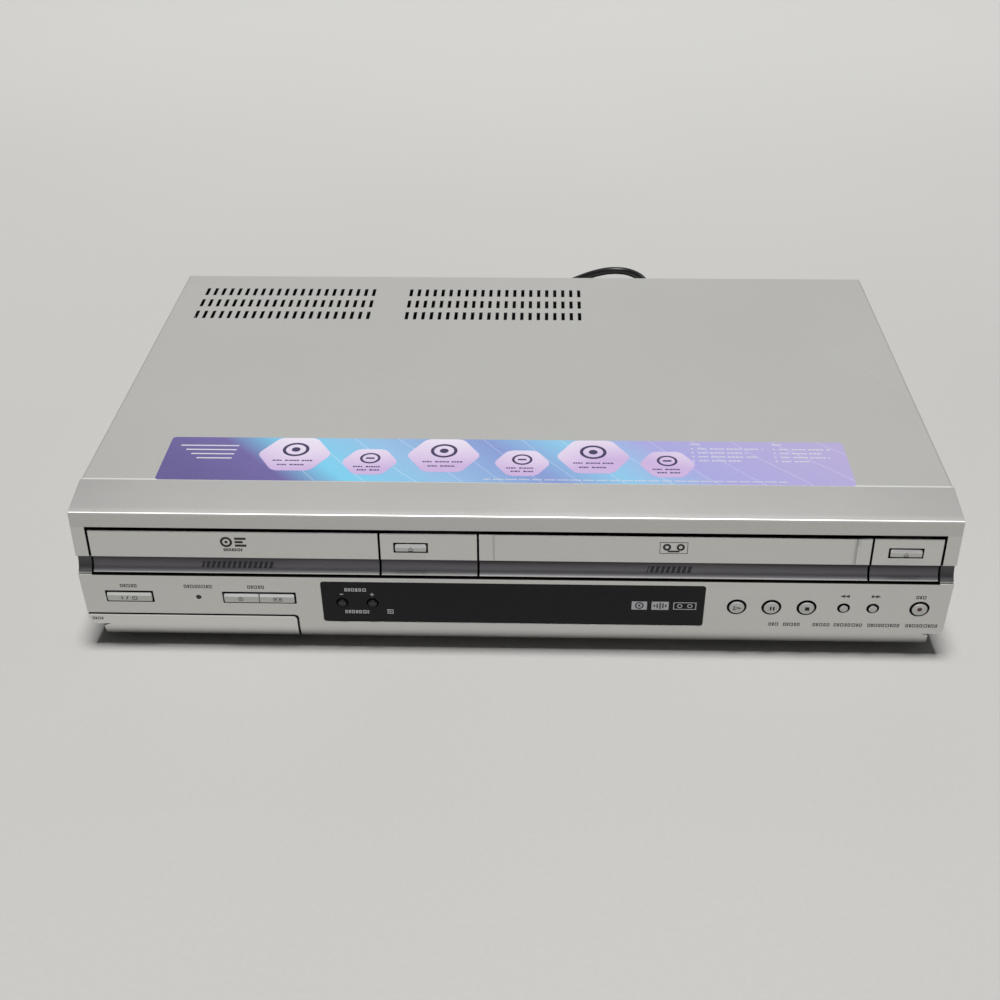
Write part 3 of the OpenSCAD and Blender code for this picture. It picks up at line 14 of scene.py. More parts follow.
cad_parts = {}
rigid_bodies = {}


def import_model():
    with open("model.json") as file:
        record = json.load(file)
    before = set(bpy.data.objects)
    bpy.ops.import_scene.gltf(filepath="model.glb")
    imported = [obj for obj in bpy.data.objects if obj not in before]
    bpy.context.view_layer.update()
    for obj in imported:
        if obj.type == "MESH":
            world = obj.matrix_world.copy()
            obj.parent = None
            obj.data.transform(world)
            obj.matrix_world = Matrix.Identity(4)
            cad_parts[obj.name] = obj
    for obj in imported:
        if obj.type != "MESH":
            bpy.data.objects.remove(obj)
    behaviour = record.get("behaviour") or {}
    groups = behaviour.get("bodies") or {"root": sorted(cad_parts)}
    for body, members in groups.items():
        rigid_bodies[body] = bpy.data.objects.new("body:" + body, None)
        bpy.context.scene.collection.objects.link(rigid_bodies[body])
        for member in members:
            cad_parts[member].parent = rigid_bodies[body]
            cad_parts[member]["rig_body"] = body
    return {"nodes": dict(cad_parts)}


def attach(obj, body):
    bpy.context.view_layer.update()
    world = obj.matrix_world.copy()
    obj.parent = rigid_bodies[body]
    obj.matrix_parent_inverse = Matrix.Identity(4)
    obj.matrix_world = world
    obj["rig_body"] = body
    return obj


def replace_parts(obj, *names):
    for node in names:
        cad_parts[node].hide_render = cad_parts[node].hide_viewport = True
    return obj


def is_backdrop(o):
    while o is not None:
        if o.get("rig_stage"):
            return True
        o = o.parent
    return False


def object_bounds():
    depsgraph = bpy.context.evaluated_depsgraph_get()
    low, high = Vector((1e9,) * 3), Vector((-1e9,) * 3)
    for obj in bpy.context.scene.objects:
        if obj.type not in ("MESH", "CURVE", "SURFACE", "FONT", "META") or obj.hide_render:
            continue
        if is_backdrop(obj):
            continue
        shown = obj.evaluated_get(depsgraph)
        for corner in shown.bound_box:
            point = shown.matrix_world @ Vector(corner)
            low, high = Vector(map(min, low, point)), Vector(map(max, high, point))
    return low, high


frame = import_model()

scene = bpy.context.scene
nodes = frame["nodes"]
body_of = {name: piece["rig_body"] for name, piece in nodes.items()}
cad_box = [list(corner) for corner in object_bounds()]
MM = 0.001

# %% [markdown]
# The camera stands about 45 cm above the table and 72 cm in front of the player's middle, and
# looks down at 32 degrees. A camera looks along its own -Z with +Y up, so three directions make
# its matrix: right, up and backwards. The roll of half a degree turns the first two.

# %% Place the camera
EYE = Vector((14.397, -719.815, 453.258)) * MM
YAW, PITCH, ROLL = (math.radians(a) for a in (-1.9974, 32.0372, -0.4770))
forward = Vector((math.sin(YAW) * math.cos(PITCH), math.cos(YAW) * math.cos(PITCH), -math.sin(PITCH)))
level = Vector((math.cos(YAW), -math.sin(YAW), 0))
upright = level.cross(forward)
right = math.cos(ROLL) * level + math.sin(ROLL) * upright
up = -math.sin(ROLL) * level + math.cos(ROLL) * upright
camera = bpy.data.objects.new("camera", bpy.data.cameras.new("camera"))
camera.data.sensor_width = 36.0
camera.data.lens = 51.65
camera.matrix_world = Matrix.Translation(EYE) @ Matrix((right, up, -forward)).transposed().to_4x4()
scene.collection.objects.link(camera)
scene.camera = camera
scene.view_settings.view_transform = "Standard"
print("camera at", tuple(round(v, 3) for v in EYE))

# %% [markdown]
# Materials are written as small sums. A Value wraps one socket of a node, so that 1 - mask or
# noise * 0.2 adds the Math nodes by itself. Colours don't survive a Math node, so they go
# through Mix.

# %% Wrap a socket so that Python's operators work on it
class Value:
    """One output of a node, in a sum."""

    def __init__(self, finish, socket):
        self.finish, self.socket = finish, socket

    def maths(self, operation, *values):
        return self.finish.node("ShaderNodeMath", {"operation": operation}, dict(enumerate(values)))

    def __rsub__(self, other):
        return self.maths("SUBTRACT", other, self)

    def __abs__(self):
        return self.maths("ABSOLUTE", self)


OPERATORS = {"add": "ADD", "radd": "ADD", "sub": "SUBTRACT", "mul": "MULTIPLY", "rmul": "MULTIPLY",
    "truediv": "DIVIDE", "mod": "FLOORED_MODULO", "or": "MAXIMUM", "gt": "GREATER_THAN", "lt": "LESS_THAN"}
for sign, operation in OPERATORS.items():
    setattr(Value, f"__{sign}__", lambda a, b, operation=operation: a.maths(operation, a, b))
print(len(OPERATORS) + 2, "operators")

# %% [markdown]
# A Finish is one material while it is being mixed. All its patterns are measured in the frame's
# own metres (Object coordinates), so a speck of paint has the same size on every piece. Numbers
# that are the same all over go straight onto the shader's sockets.

# %% Make materials from nodes
def rgb(red, green, blue):
    """A colour as a screen shows it, 0 to 255, as the linear light that the shader takes."""
    linear = [c / 255 / 12.92 if c <= 10 else ((c / 255 + 0.055) / 1.055) ** 2.4 for c in (red, green, blue)]
    return (*linear, 1.0)


def shaded(colour, share, lift=0.0):
    """The same colour with that share of its light."""
    return (*(min(1.0, c * share + lift) for c in colour[:3]), 1.0)


class Finish:
    """A material under the brush: a Principled shader and the nodes that feed it."""

    def __init__(self, name, **sockets):
        self.material = bpy.data.materials.new(name)
        self.material.use_nodes = True
        self.tree = self.material.node_tree
        self.shader = self.tree.nodes["Principled BSDF"]
        self.point = self.node("ShaderNodeTexCoord", output="Object")
        self.set(**sockets)

    def node(self, kind, settings=None, values=None, output=0):
        made = self.tree.nodes.new(kind)
        for name, setting in (settings or {}).items():
            if name == "stops":
                ramp = made.color_ramp
                while len(ramp.elements) < len(setting):
                    ramp.elements.new(0.5)
                for element, (position, colour) in zip(ramp.elements, setting):
                    element.position, element.color = position, colour
            else:
                setattr(made, name, setting)
        for key, value in (values or {}).items():
            self.feed(made.inputs[key], value)
        return Value(self, made.outputs[output])

    def feed(self, socket, value):
        if isinstance(value, Value):
            self.tree.links.new(value.socket, socket)
        else:
            socket.default_value = value

    def set(self, **sockets):
        for name, value in sockets.items():
            self.feed(self.shader.inputs[name.replace("_", " ").title().replace("Ior", "IOR")], value)

    def mix(self, share, first, second):
        return self.node("ShaderNodeMix", {"data_type": "RGBA"}, {0: share, 6: first, 7: second}, output=2)

    def coat(self, share, colour):
        """Paints over the colour that is there, as far as share says."""
        self.colour = self.mix(share, self.colour, colour)
        self.set(base_color=self.colour)
        return self

    def ramp(self, value, stops):
        return self.node("ShaderNodeValToRGB", {"stops": stops}, {"Fac": value})

    def noise(self, scale, detail=2.0, stretch=(1, 1, 1)):
        point = self.node("ShaderNodeVectorMath", {"operation": "MULTIPLY"}, {0: self.point, 1: stretch})
        return self.node("ShaderNodeTexNoise", None, {"Vector": point, "Scale": scale, "Detail": detail})

    def axes(self):
        """The point's x, y and z, each in millimetres."""
        split = self.node("ShaderNodeSeparateXYZ", None, {0: self.point})
        outputs = split.socket.node.outputs
        return [Value(self, outputs[i]) * 1000 for i in range(3)]

    def bump(self, height, strength, distance):
        self.set(normal=self.node("ShaderNodeBump", None,
            {"Height": height, "Strength": strength, "Distance": distance}))
        return self


def clamp(value):
    """Holds a Value between 0 and 1."""
    return value.finish.node("ShaderNodeClamp", None, {"Value": value})


def step(value, low, high):
    """0 below low and 1 above high, with a smooth slope between."""
    return value.finish.node("ShaderNodeMapRange", {"interpolation_type": "SMOOTHSTEP"},
        {"Value": value, "From Min": low, "From Max": high})


# %% [markdown]
# The silver finish is a paint with fine metal flakes. Each flake is a tiny change of brightness
# and roughness, a few tenths of a millimetre wide. A broad, faint noise keeps a large panel from
# looking computed, and a very low bump gives the slight grain of sprayed paint. The painted black
# shade in gaps and holes, the painted highlights along some edges and the printed signs are placed
# from the point's x, y and z in millimetres, so their edges stay sharp from any distance.

# %% Where things stand on the front, in mm
FACE_Y, FACE_TOP = -144, 46.9           # the foremost line, where the lower face starts to lean back
LEAN_IN, LEAN_DOWN = 3.2, 29.9          # the lower face goes back by the one over the height of the other
DOOR_Y = -142.5                         # the faces of the doors
LONG_ROW, ROUND_ROW = 32.8, 30.6        # heights of the long keys and of the round keys
LARGE_KEYS = (111.1, 128.2, 145.5, 200.9)   # play, pause, stop, record
SMALL_KEYS = (163.7, 178.0)             # rewind, fast forward
POWER_X, SELECT_X, LAMP_X = -191.5, -126.3, -156.8
EJECT_KEYS = (-49.4, 189.7)             # disc, tape
print("lower face leans", round(math.degrees(math.atan(LEAN_IN / LEAN_DOWN)), 2), "degrees")

# %% Silver paint and plastic
def silver(name, colour, metallic, roughness, grain=0.02):
    finish = Finish(name, metallic=metallic)
    flakes = finish.noise(2600, 2.0)
    cloud = finish.noise(9, 3.0)
    shade = clamp(0.5 + (flakes - 0.5) * grain * 30 + (cloud - 0.5) * 0.35)
    finish.colour = finish.mix(shade, shaded(colour, 0.88), shaded(colour, 1.13))
    finish.set(base_color=finish.colour, roughness=roughness + (flakes - 0.5) * 0.16 + (cloud - 0.5) * 0.06)
    return finish.bump(flakes, 0.06, 0.00005)


def cover_paint():
    """Paint on the steel cover, with a painted highlight along its front edge and two faint rubbed lines."""
    finish = silver("cover paint", rgb(191, 190, 186), 0.35, 0.42, grain=0.03)
    x, y, z = finish.axes()
    top = step(z, 84.5, 85.5)
    # painted highlight: the cover's front edge is coated near white
    edge = step(y, -115.9, -116.6) * top
    rub = (1 - step(abs(x - 190 + (y - 20) * 0.55), 0.0, 0.5)) * step(y, -60, -40) * step(y, 70, 40)
    rub += (1 - step(abs(x + 60 + (y + 10) * 2.1), 0.0, 0.7)) * step(y, -30, -25) * step(y, 12, 5)
    return finish.coat(clamp(edge * 0.75 + rub * top * 0.16), rgb(246, 246, 244))


def behind_face(finish, deep):
    """1 where a point lies more than deep behind the front, which leans back below the doors."""
    _, y, z = finish.axes()
    leaning = y - FACE_Y - (FACE_TOP - z) * (LEAN_IN / LEAN_DOWN)
    lower = step(leaning, deep, deep + 0.15) * (z < 46.95) * (z > 17.3)
    upper = step(y - DOOR_Y, deep + 0.15, deep + 0.3) * (z > 46.95) * (z < 81.0)
    return lower | upper


def off_centre(x, z, centre, high=ROUND_ROW):
    """The square of a point's distance from that centre."""
    return (x - centre) * (x - centre) + (z - high) * (z - high)


def hole_rim_shade(x, z):
    """1 inside the rims of the holes that the lamp and the keys of the lower front stand in, where the front
    gets painted black shade.
    """
    holes = ((off_centre(x, z, LAMP_X, LONG_ROW) < 1.35 ** 2)
        | (abs(x - POWER_X) < 12.1) * (abs(z - LONG_ROW) < 3.7)
        | (abs(x - SELECT_X) < 18.45) * (abs(z - LONG_ROW) < 3.7))
    for centres, radius in ((LARGE_KEYS, 4.9), (SMALL_KEYS, 3.15)):
        for centre in centres:
            holes |= off_centre(x, z, centre) < radius ** 2
    return holes


def chin_shade(finish, z):
    """Painted shade on the curve below the front, darker towards the bottom."""
    return finish.coat(step(z, 14.5, 5.0) * 0.55, rgb(90, 90, 89))


def front_silver():
    """The front panel: silver outside, with painted black shade inside every gap and hole and on the hole
    rims.
    """
    finish = silver("front silver", rgb(214, 213, 210), 0.85, 0.46)
    x, y, z = finish.axes()
    # painted black shade: the pocket round the flap, every wall behind the face, and lines along the ledges
    # at the groove's foot and ends
    round_flap = (x < -108.1) * (z < 20.9) * (z > 5.4)
    gaps = (behind_face(finish, 0.3) | round_flap) * (abs(x) < 214.6)
    ledge = (abs(z - 46.75) < 0.2) * (abs(x) < 208.2) | (abs(abs(x) - 207.9) < 0.35) * (z < 73.9) * (z > 56.6)
    # painted highlight along the brow, the rounded edge between the crown and the strip
    brow_highlight = step(abs(z - 81.75), 0.75, 0.3) * step(y, -141.5, -142.0)
    strip = step(z, 73.5, 73.9) * step(z, 81.4, 81.0) * step(y, -142.0, -142.3)
    finish.coat(strip * 0.2, rgb(160, 160, 158))
    finish.coat(brow_highlight * 0.3, rgb(240, 240, 238))
    # painted shade: the crown, which faces up, is darkened to tone down its highlight
    finish.coat(step(z, 82.3, 82.8) * 0.2, rgb(150, 149, 147))
    # painted shade on the curve below, then painted black shade in the gaps, on the ledges and round the
    # holes
    return chin_shade(finish, z).coat(gaps | ledge | hole_rim_shade(x, z), rgb(10, 10, 11))


def facing(finish):
    """The x, y and z of the direction that the surface faces."""
    normal = finish.node("ShaderNodeTexCoord", output="Normal")
    split = finish.node("ShaderNodeSeparateXYZ", None, {0: normal})
    return (Value(finish, split.socket.node.outputs[i]) for i in range(3))


def key_silver():
    """Silver heads with a painted highlight on their upward slopes and painted black shade on their sides and
    outer rims. The four round ones carry a printed sign in their dish.
    """
    finish = silver("key silver", rgb(206, 206, 203), 0.35, 0.4, grain=0.005)
    x, _, z = finish.axes()
    _, ny, nz = facing(finish)
    # painted highlight: the slopes of the heads that face up are painted near white
    slope = step(nz, 0.22, 0.36) * (ny < -0.5)
    play, pause, stop = (x - centre for centre in (111.4, 128.6, 145.8))
    high = abs(z - 30.1)
    reach = (2.2 - play) * 0.33 - high
    signs = ((reach > 0) * (abs(play) < 1.9) - (reach > 0.42) * (abs(play) < 1.4)
        | (abs(abs(pause) - 0.75) < 0.4) * (high < 1.15) | (abs(stop) < 1.1) * (high < 1.1))
    # painted black shade round the rims of the round keys, where the gap lies
    rim = 0
    for centres, radius in ((LARGE_KEYS, 3.7), (SMALL_KEYS, 2.0)):
        for centre in centres:
            away = off_centre(x, z, centre)
            rim = (away > radius ** 2) * (away < 30) + rim
    finish.set(metallic=0.35 + slope * 0.4)
    finish.coat(slope, rgb(250, 250, 249)).coat(signs, rgb(34, 34, 36))
    finish.coat(off_centre(x, z, LARGE_KEYS[-1]) < 1.5, rgb(88, 56, 54))
    # painted black shade on the sides of the keys behind the face and on the rims
    return finish.coat(behind_face(finish, -0.12) | rim, rgb(8, 8, 9))


def gap_wall_shade(finish):
    """1 on faces that look sideways, up or back, which only a gap shows; these get painted black shade."""
    nx, ny, nz = facing(finish)
    return (abs(nx) > 0.8) | (nz > 0.85) | (ny > 0.3)


def door_silver():
    """Silver door faces over a dark grey band in the groove below them, with painted shade that darkens it
    towards its top.
    """
    finish = silver("door silver", rgb(216, 215, 212), 0.8, 0.44)
    x, _, z = finish.axes()
    inside = step(z, 57.0, 56.5) * step(z, 48.5, 48.7)
    streaks = finish.noise(260, 3.0, stretch=(0.05, 1, 1))
    # the groove's dark grey, with painted shade darkening it towards the top under the overhang
    band = finish.ramp(clamp((z - 48.5) / 8.5 + (streaks - 0.5) * 0.3), [(0.0, rgb(128, 126, 130)),
        (0.3, rgb(122, 120, 124)), (0.6, rgb(96, 93, 98)), (0.95, rgb(30, 28, 32))])
    slanted = x - z * 0.3
    strokes = (abs(z - 51.9) < 1.6) * (slanted % 2.6 < 1.7)
    strokes *= (abs(slanted + 150.5) < 18) | (abs(slanted - 61.5) < 11)
    band = finish.mix(strokes * 0.75, band, rgb(30, 29, 32))
    finish.coat(inside, band)
    # painted shade in a narrow hollow beside the window line at the tape door's right end, with a small
    # painted shadow hook at its top
    hollow_shade = step(x, 163.8, 165.6) * (x < 165.8) * (z > 57) * (z < 71)
    hook_shadow = (abs(x - 166.7) < 0.9) * (abs(z - 69.5) < 1.9)
    finish.coat(hollow_shade * 0.3 + hook_shadow * 0.18, rgb(110, 110, 108))
    # painted black shade on the gap walls, at the doors' outer ends and round the eject keys' holes
    hole = ((abs(x - EJECT_KEYS[0]) < 8.45) | (abs(x - EJECT_KEYS[1]) < 8.45)) * (abs(z - 63.8) < 2.9)
    return finish.coat(gap_wall_shade(finish) | (abs(x) > 207.0) | hole, rgb(8, 8, 9))


def groove_end():
    """The grey blocks at the two ends of the groove, with painted black shade where they meet the doors."""
    finish = silver("groove grey", rgb(82, 82, 85), 0.2, 0.42, grain=0.01)
    x, _, z = finish.axes()
    finish.coat((z > 55.6) | (z < 48.0), rgb(190, 190, 188))
    # painted black shade on the faces that look into the gaps beside the doors
    return finish.coat(abs(x) < 208.2, rgb(8, 8, 9))


def flap_silver():
    """The flap over the front sockets: a painted highlight along its top line, painted shade on its sides,
    its top face and the curve below, and grey where only an open flap shows it.
    """
    finish = silver("flap silver", rgb(226, 225, 222), 0.85, 0.44)
    _, _, z = finish.axes()
    # painted shade on the curve below, and a painted highlight just under the top edge
    chin_shade(finish, z).coat(step(z, 19.7, 20.0) * 0.8, rgb(252, 252, 250))
    nx, ny, nz = facing(finish)
    # painted shade on the faces that look sideways or up into the gaps
    finish.coat((nx > 0.8) | (nz > 0.85), rgb(34, 34, 36))
    finish.set(metallic=(ny < 0.3) * 0.85)
    return finish.coat(ny > 0.3, rgb(132, 132, 130))


finishes = {
    "silver_paint": cover_paint(),
    "silver_plastic": front_silver(),
    "key_silver": key_silver(),
    "groove_grey": groove_end(),
}
print("silver finishes:", ", ".join(sorted(finishes)))

# %% [markdown]
# The other finishes follow the same idea: one base, one or two patterns at the size that the
# real stuff has, and their trace in the roughness. Moulded black plastic has a fine spark-eroded
# grain, zinc-coated steel has soft crystals, a circuit board has tracks under its green lacquer.

# %% Plastics, rubber and glass
def moulded(name, colour, roughness, grain=1500, depth=0.25, **sockets):
    finish = Finish(name, **sockets)
    skin = finish.noise(grain, 3.0)
    cloud = finish.noise(24, 2.0)
    finish.set(base_color=finish.mix(clamp(skin * 0.5 + cloud * 0.4), colour, shaded(colour, 1.25, 0.004)),
        roughness=roughness + (skin - 0.5) * 0.14)
    return finish.bump(skin, depth, 0.00005)


def smoked_glass():
    finish = Finish("smoked window", specular_ior_level=0.22)
    dust = finish.noise(900, 1.0)
    specks = step(dust, 0.73, 0.78)
    cloud = finish.noise(20, 2.0)
    finish.set(base_color=finish.mix(specks * 0.25, rgb(8, 9, 15), rgb(70, 70, 80)),
        roughness=0.2 + cloud * 0.08 + specks * 0.3)
    return finish


finishes.update({
    "smoked_window": smoked_glass(),
    "black_plastic": moulded("black plastic", rgb(27, 27, 29), 0.42),
    "foot_black": moulded("foot black", rgb(24, 24, 25), 0.6, grain=900, depth=0.5),
    "tray_plastic": moulded("tray plastic", rgb(38, 38, 41), 0.36),
    "gear_nylon": moulded("gear nylon", rgb(214, 207, 188), 0.38, subsurface_weight=0.1),
    "roller_rubber": moulded("roller rubber", rgb(22, 22, 23), 0.75, grain=2500),
    "cord_pvc": moulded("cord sleeve", rgb(20, 20, 21), 0.4, grain=1100, depth=0.2),
    "display_glass": moulded("display glass", rgb(30, 42, 44), 0.12, coat_weight=0.5),
})


# %% Metals
def sheet_metal(name, colour, roughness, crystals, contrast=0.12):
    finish = Finish(name, metallic=1.0)
    cells = finish.node("ShaderNodeTexVoronoi", None, {"Vector": finish.point, "Scale": crystals},
        output="Color")
    cell = finish.node("ShaderNodeSeparateColor", None, {0: cells})
    smear = finish.noise(60, 4.0)
    shade = clamp(cell * 0.6 + smear * 0.5)
    finish.set(base_color=finish.mix(shade, shaded(colour, 1 - contrast), colour),
        roughness=roughness + (shade - 0.5) * 0.16)
    return finish.bump(smear, 0.08, 0.0001)


def turned_metal(name, colour, roughness):
    finish = Finish(name, metallic=1.0)
    lines = finish.noise(4200, 2.0, stretch=(0.12, 0.12, 1))
    finish.set(base_color=finish.mix(lines, shaded(colour, 0.82), colour),
        roughness=roughness + (lines - 0.5) * 0.12)
    return finish.bump(lines, 0.1, 0.00003)


def circuit_board():
    """Green lacquer with paler tracks on a grid and a sprinkle of solder points."""
    finish = Finish("circuit board", coat_weight=0.3)
    x, y, _ = finish.axes()
    wander = finish.noise(70, 0.0)
    tracks = (abs((x + wander * 9) % 2.6 - 1.3) < 0.45) * (finish.noise(38, 0.0) > 0.5)
    cross = (abs((y + wander * 7) % 3.4 - 1.7) < 0.4) * (finish.noise(31, 0.0) > 0.53)
    solder = finish.node("ShaderNodeTexVoronoi", None,
        {"Vector": finish.point, "Scale": 330.0, "Randomness": 0.4}) < 0.2
    green = finish.mix(clamp(tracks + cross) * 0.6, rgb(22, 74, 44), rgb(58, 118, 76))
    finish.set(base_color=finish.mix(solder, green, rgb(168, 168, 164)), metallic=solder * 0.8,
        roughness=0.34 + finish.noise(400, 2.0) * 0.12)
    return finish


finishes.update({
    "zinc_steel": sheet_metal("zinc steel", rgb(190, 192, 195), 0.36, 130),
    "screw_steel": sheet_metal("screw steel", rgb(150, 150, 154), 0.34, 900),
    "nickel": sheet_metal("nickel", rgb(196, 192, 182), 0.22, 700, 0.06),
    "spring_steel": turned_metal("spring steel", rgb(188, 190, 194), 0.28),
    "polished_drum": turned_metal("polished drum", rgb(202, 204, 208), 0.16),
    "circuit_board": circuit_board(),
})
print(len(finishes), "finishes")

# %% [markdown]
# Every CAD node names the material slot that it is made of. Its own material is swapped for the
# finish of that slot, or for one of its own on the doors and the flap. The copies below inherit it.

# %% Dress the CAD nodes
own_finish = dict.fromkeys(("tray_door", "vhs_door", "dvd_eject_panel", "vhs_eject_panel"), door_silver())
own_finish["front_jack_door"] = flap_silver()
slot_of = {}
for name, piece in nodes.items():
    for place in piece.material_slots:
        slot_of[name] = place.material.name
        place.material = own_finish.get(name, finishes[slot_of[name]]).material
print(len(slot_of), "nodes dressed,", len(own_finish), "of them in a finish of their own")

# %% [markdown]
# The mains lead is a 5 mm sleeve of PVC. It leaves its strain relief straight, falls to the table
# under its own weight, runs behind the player where it can't be seen and is wound up in two
# layers beside its plug. A Blender curve is the natural way to make it: one line of points with
# a round section.

# %% The way of the mains lead
EXIT = Vector((-185.0, 160.0, 0.0))
LOW, HIGH = 2.5, 7.8        # the middle of a lead that lies on the table, or on another turn
FALLS = [(0, 0, 22), (0, 12, 21), (1, 24, 17), (4, 36, 11), (9, 48, 6), (17, 59, 3)]
LIES = [(28, 69), (43, 77), (63, 83), (85, 87), (109, 92), (133, 99), (155, 109), (175, 122), (193, 137),
    (209, 152), (223, 166), (236, 178), (250, 185.5), (264, 184.5), (274, 174), (278, 159), (278, 140),
    (278, 120), (278, 100)]
COIL = Vector((128.2, 240.0, 0.0))
OUTER, MIDDLE, INNER = 35.2, 29.8, 24.4
# the way through the coil: (turned so far in degrees, radius, height)
WIND = [(0, OUTER, LOW), (300, OUTER, LOW), (360, MIDDLE, LOW), (600, MIDDLE, LOW), (660, INNER, LOW),
    (900, INNER, LOW), (960, INNER, HIGH), (1200, INNER, HIGH), (1260, MIDDLE, HIGH), (1500, MIDDLE, HIGH),
    (1560, OUTER, HIGH), (1890, OUTER, HIGH)]


def smooth(points):
    """A Catmull-Rom line: one more point between each two of the line's own."""
    ends = [points[0], *points, points[-1]]
    line = []
    for a, b, c, d in zip(ends, ends[1:], ends[2:], ends[3:]):
        line += [b, (-a + 9 * b + 9 * c - d) / 16]
    return line + [points[-1]]


def turn(angle):
    """The point of the coil at that turn."""
    for (a0, r0, z0), (a1, r1, z1) in zip(WIND, WIND[1:]):
        if angle <= a1:
            share = (angle - a0) / (a1 - a0)
            share = share * share * (3 - 2 * share)
            break
    radius, height = r0 + (r1 - r0) * share, z0 + (z1 - z0) * share
    way = math.radians(180 + angle)
    return COIL + Vector((radius * math.cos(way), radius * math.sin(way), height))


lead_line = smooth(smooth([EXIT + Vector(p) for p in FALLS + [(x, y, LOW) for x, y in LIES]]))
lead_line += [turn(a) for a in range(0, WIND[-1][0] + 1, 10)]
lead_line += [Vector((x, 204.8, 7.9)) for x in (134, 140, 149.5)]
lead_line = [p * MM for p in lead_line]
lead_length = sum((b - a).length for a, b in zip(lead_line, lead_line[1:]))
print("mains lead:", round(lead_length, 4), "m in", len(lead_line), "points")

# %% The mains lead itself
lead_curve = bpy.data.curves.new("mains_lead", "CURVE")
lead_curve.dimensions = "3D"
lead_curve.bevel_depth = 2.5 * MM
lead_curve.bevel_resolution = 4
lead_curve.use_fill_caps = True
spline = lead_curve.splines.new("POLY")
spline.points.add(len(lead_line) - 1)
for point, place in zip(spline.points, lead_line):
    point.co = (*place, 1.0)
spline.use_smooth = True
mains_lead = bpy.data.objects.new("mains_lead", lead_curve)
scene.collection.objects.link(mains_lead)
mains_lead.data.materials.append(finishes["cord_pvc"].material)
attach(mains_lead, "housing")
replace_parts(mains_lead, "power_cord", "cord_coil")
print("sleeve", 2 * round(lead_curve.bevel_depth / MM, 2), "mm thick")


# %% [markdown]
# Small pieces start as one primitive and are shaped with bmesh operators: a cube whose edges are
# bevelled, or an outline that is spun. The first helper turns a finished bmesh into an object, with
# its sharp edges kept and the rest shaded smooth. The second one puts that object on a body.

# %% Turn a bmesh into a piece
def object_from(name, bm, materials, sharp=30):
    mesh = bpy.data.meshes.new(name)
    bm.to_mesh(mesh)
    bm.free()
    for material in materials:
        mesh.materials.append(material)
    mesh.shade_smooth()
    mesh.set_sharp_from_angle(angle=math.radians(sharp))
    made = bpy.data.objects.new(name, mesh)
    scene.collection.objects.link(made)
    return made


def piece_from(name, bm, finish, body="housing"):
    piece = object_from(name, bm, [finishes[finish].material])
    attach(piece, body)
    print(name, "rides on", body + ",", len(piece.data.polygons), "faces")
    return piece


def cube(bm, size, centre):
    """Adds a cuboid of that size and centre, in mm."""
    place = Matrix.Translation(Vector(centre) * MM) @ Matrix.Diagonal((*(Vector(size) * MM), 1))
    bmesh.ops.create_cube(bm, size=1.0, matrix=place)


def bevelled(bm, geom, width, segments=2, affect="EDGES"):
    bmesh.ops.bevel(bm, geom=geom, offset=width, segments=segments, profile=0.5, affect=affect, material=-1)


def lathe(bm, profile, axis, centre, steps=48):
    """Spins an outline of (radius, distance along the axis) points, in mm, into a closed solid."""
    side = Vector((1, 0, 0)) if abs(axis.x) < 0.5 else Vector((0, 1, 0))
    side = (side - axis * side.dot(axis)).normalized()
    made = [bm.verts.new((centre + side * r + axis * d) * MM) for r, d in profile]
    edges = [bm.edges.new(pair) for pair in zip(made, made[1:])]
    bmesh.ops.spin(bm, geom=made + edges, cent=centre * MM, axis=axis, angle=math.tau, steps=steps,
        use_merge=True)
    bmesh.ops.remove_doubles(bm, verts=bm.verts, dist=1e-6)
    bmesh.ops.recalc_face_normals(bm, faces=bm.faces)


# %% [markdown]
# The strain relief is a soft tapered sleeve with ribs, so that the lead bends in an even curve
# where it leaves the rear panel. It is an outline of steps, spun around the lead's own line.

# %% Strain relief
TO_THE_BACK = Vector((0, 1, 0))
gland_outline = [(0, -3.9), (5, -3.9), (5, 0), (7.2, 0), (7.5, 0.4), (7.5, 2.6), (7.2, 3), (5.2, 3)]
for i in range(6):
    back, radius = 4.4 + i * 3.1, 5.0 - i * 0.24
    gland_outline += [(radius, back), (radius, back + 1.7), (radius - 0.9, back + 1.9),
        (radius - 1.0, back + 2.9)]
gland_outline += [(3.6, 23.2), (3.4, 24.6), (2.9, 25), (0, 25)]
bm = bmesh.new()
lathe(bm, gland_outline, TO_THE_BACK, Vector((-185, 135, 22)))
strain_relief = piece_from("strain_relief", bm, "cord_pvc")
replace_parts(strain_relief, "cord_gland")

# %% [markdown]
# The plug is a moulded block with a waist for the fingers and two flat blades of nickelled brass.
# A cube is subdivided, its waist is pulled in and its edges are bevelled. The neck is spun.

# %% Mains plug
PLUG = Vector((180.3, 204.8, 8.0))
bm = bmesh.new()
cube(bm, (22, 22, 16), PLUG)
along = [e for e in bm.edges if abs(e.verts[0].co.x - e.verts[1].co.x) > 0.02]
bmesh.ops.subdivide_edges(bm, edges=along, cuts=4, use_grid_fill=True)
for vert in bm.verts:
    from_waist = vert.co.x / MM - 179.3
    if abs(from_waist) < 8.5:
        pull = 1.4 * max(0.0, math.cos(from_waist / 11 * math.pi / 2))
        vert.co.y -= math.copysign(pull * MM, vert.co.y - PLUG.y * MM)
bevelled(bm, [e for e in bm.edges if e.calc_face_angle() > 0.9], 1.6 * MM, segments=4)
neck = [(0, 0), (2.9, 0), (3.1, 0.6)]
ONE_RIB = ((3.4, 1.2), (3.5, 3.6), (2.9, 3.8), (2.9, 4.6))
for i in range(5):
    neck += [(wide + i * 0.42, far + i * 3.6) for wide, far in ONE_RIB]
neck += [(5.4, 19.4), (5.5, 21), (0, 21)]
lathe(bm, neck, Vector((1, 0, 0)), Vector((149.3, PLUG.y, PLUG.z)), steps=32)
mains_plug = piece_from("mains_plug", bm, "cord_pvc")
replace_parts(mains_plug, "power_plug")
bm = bmesh.new()
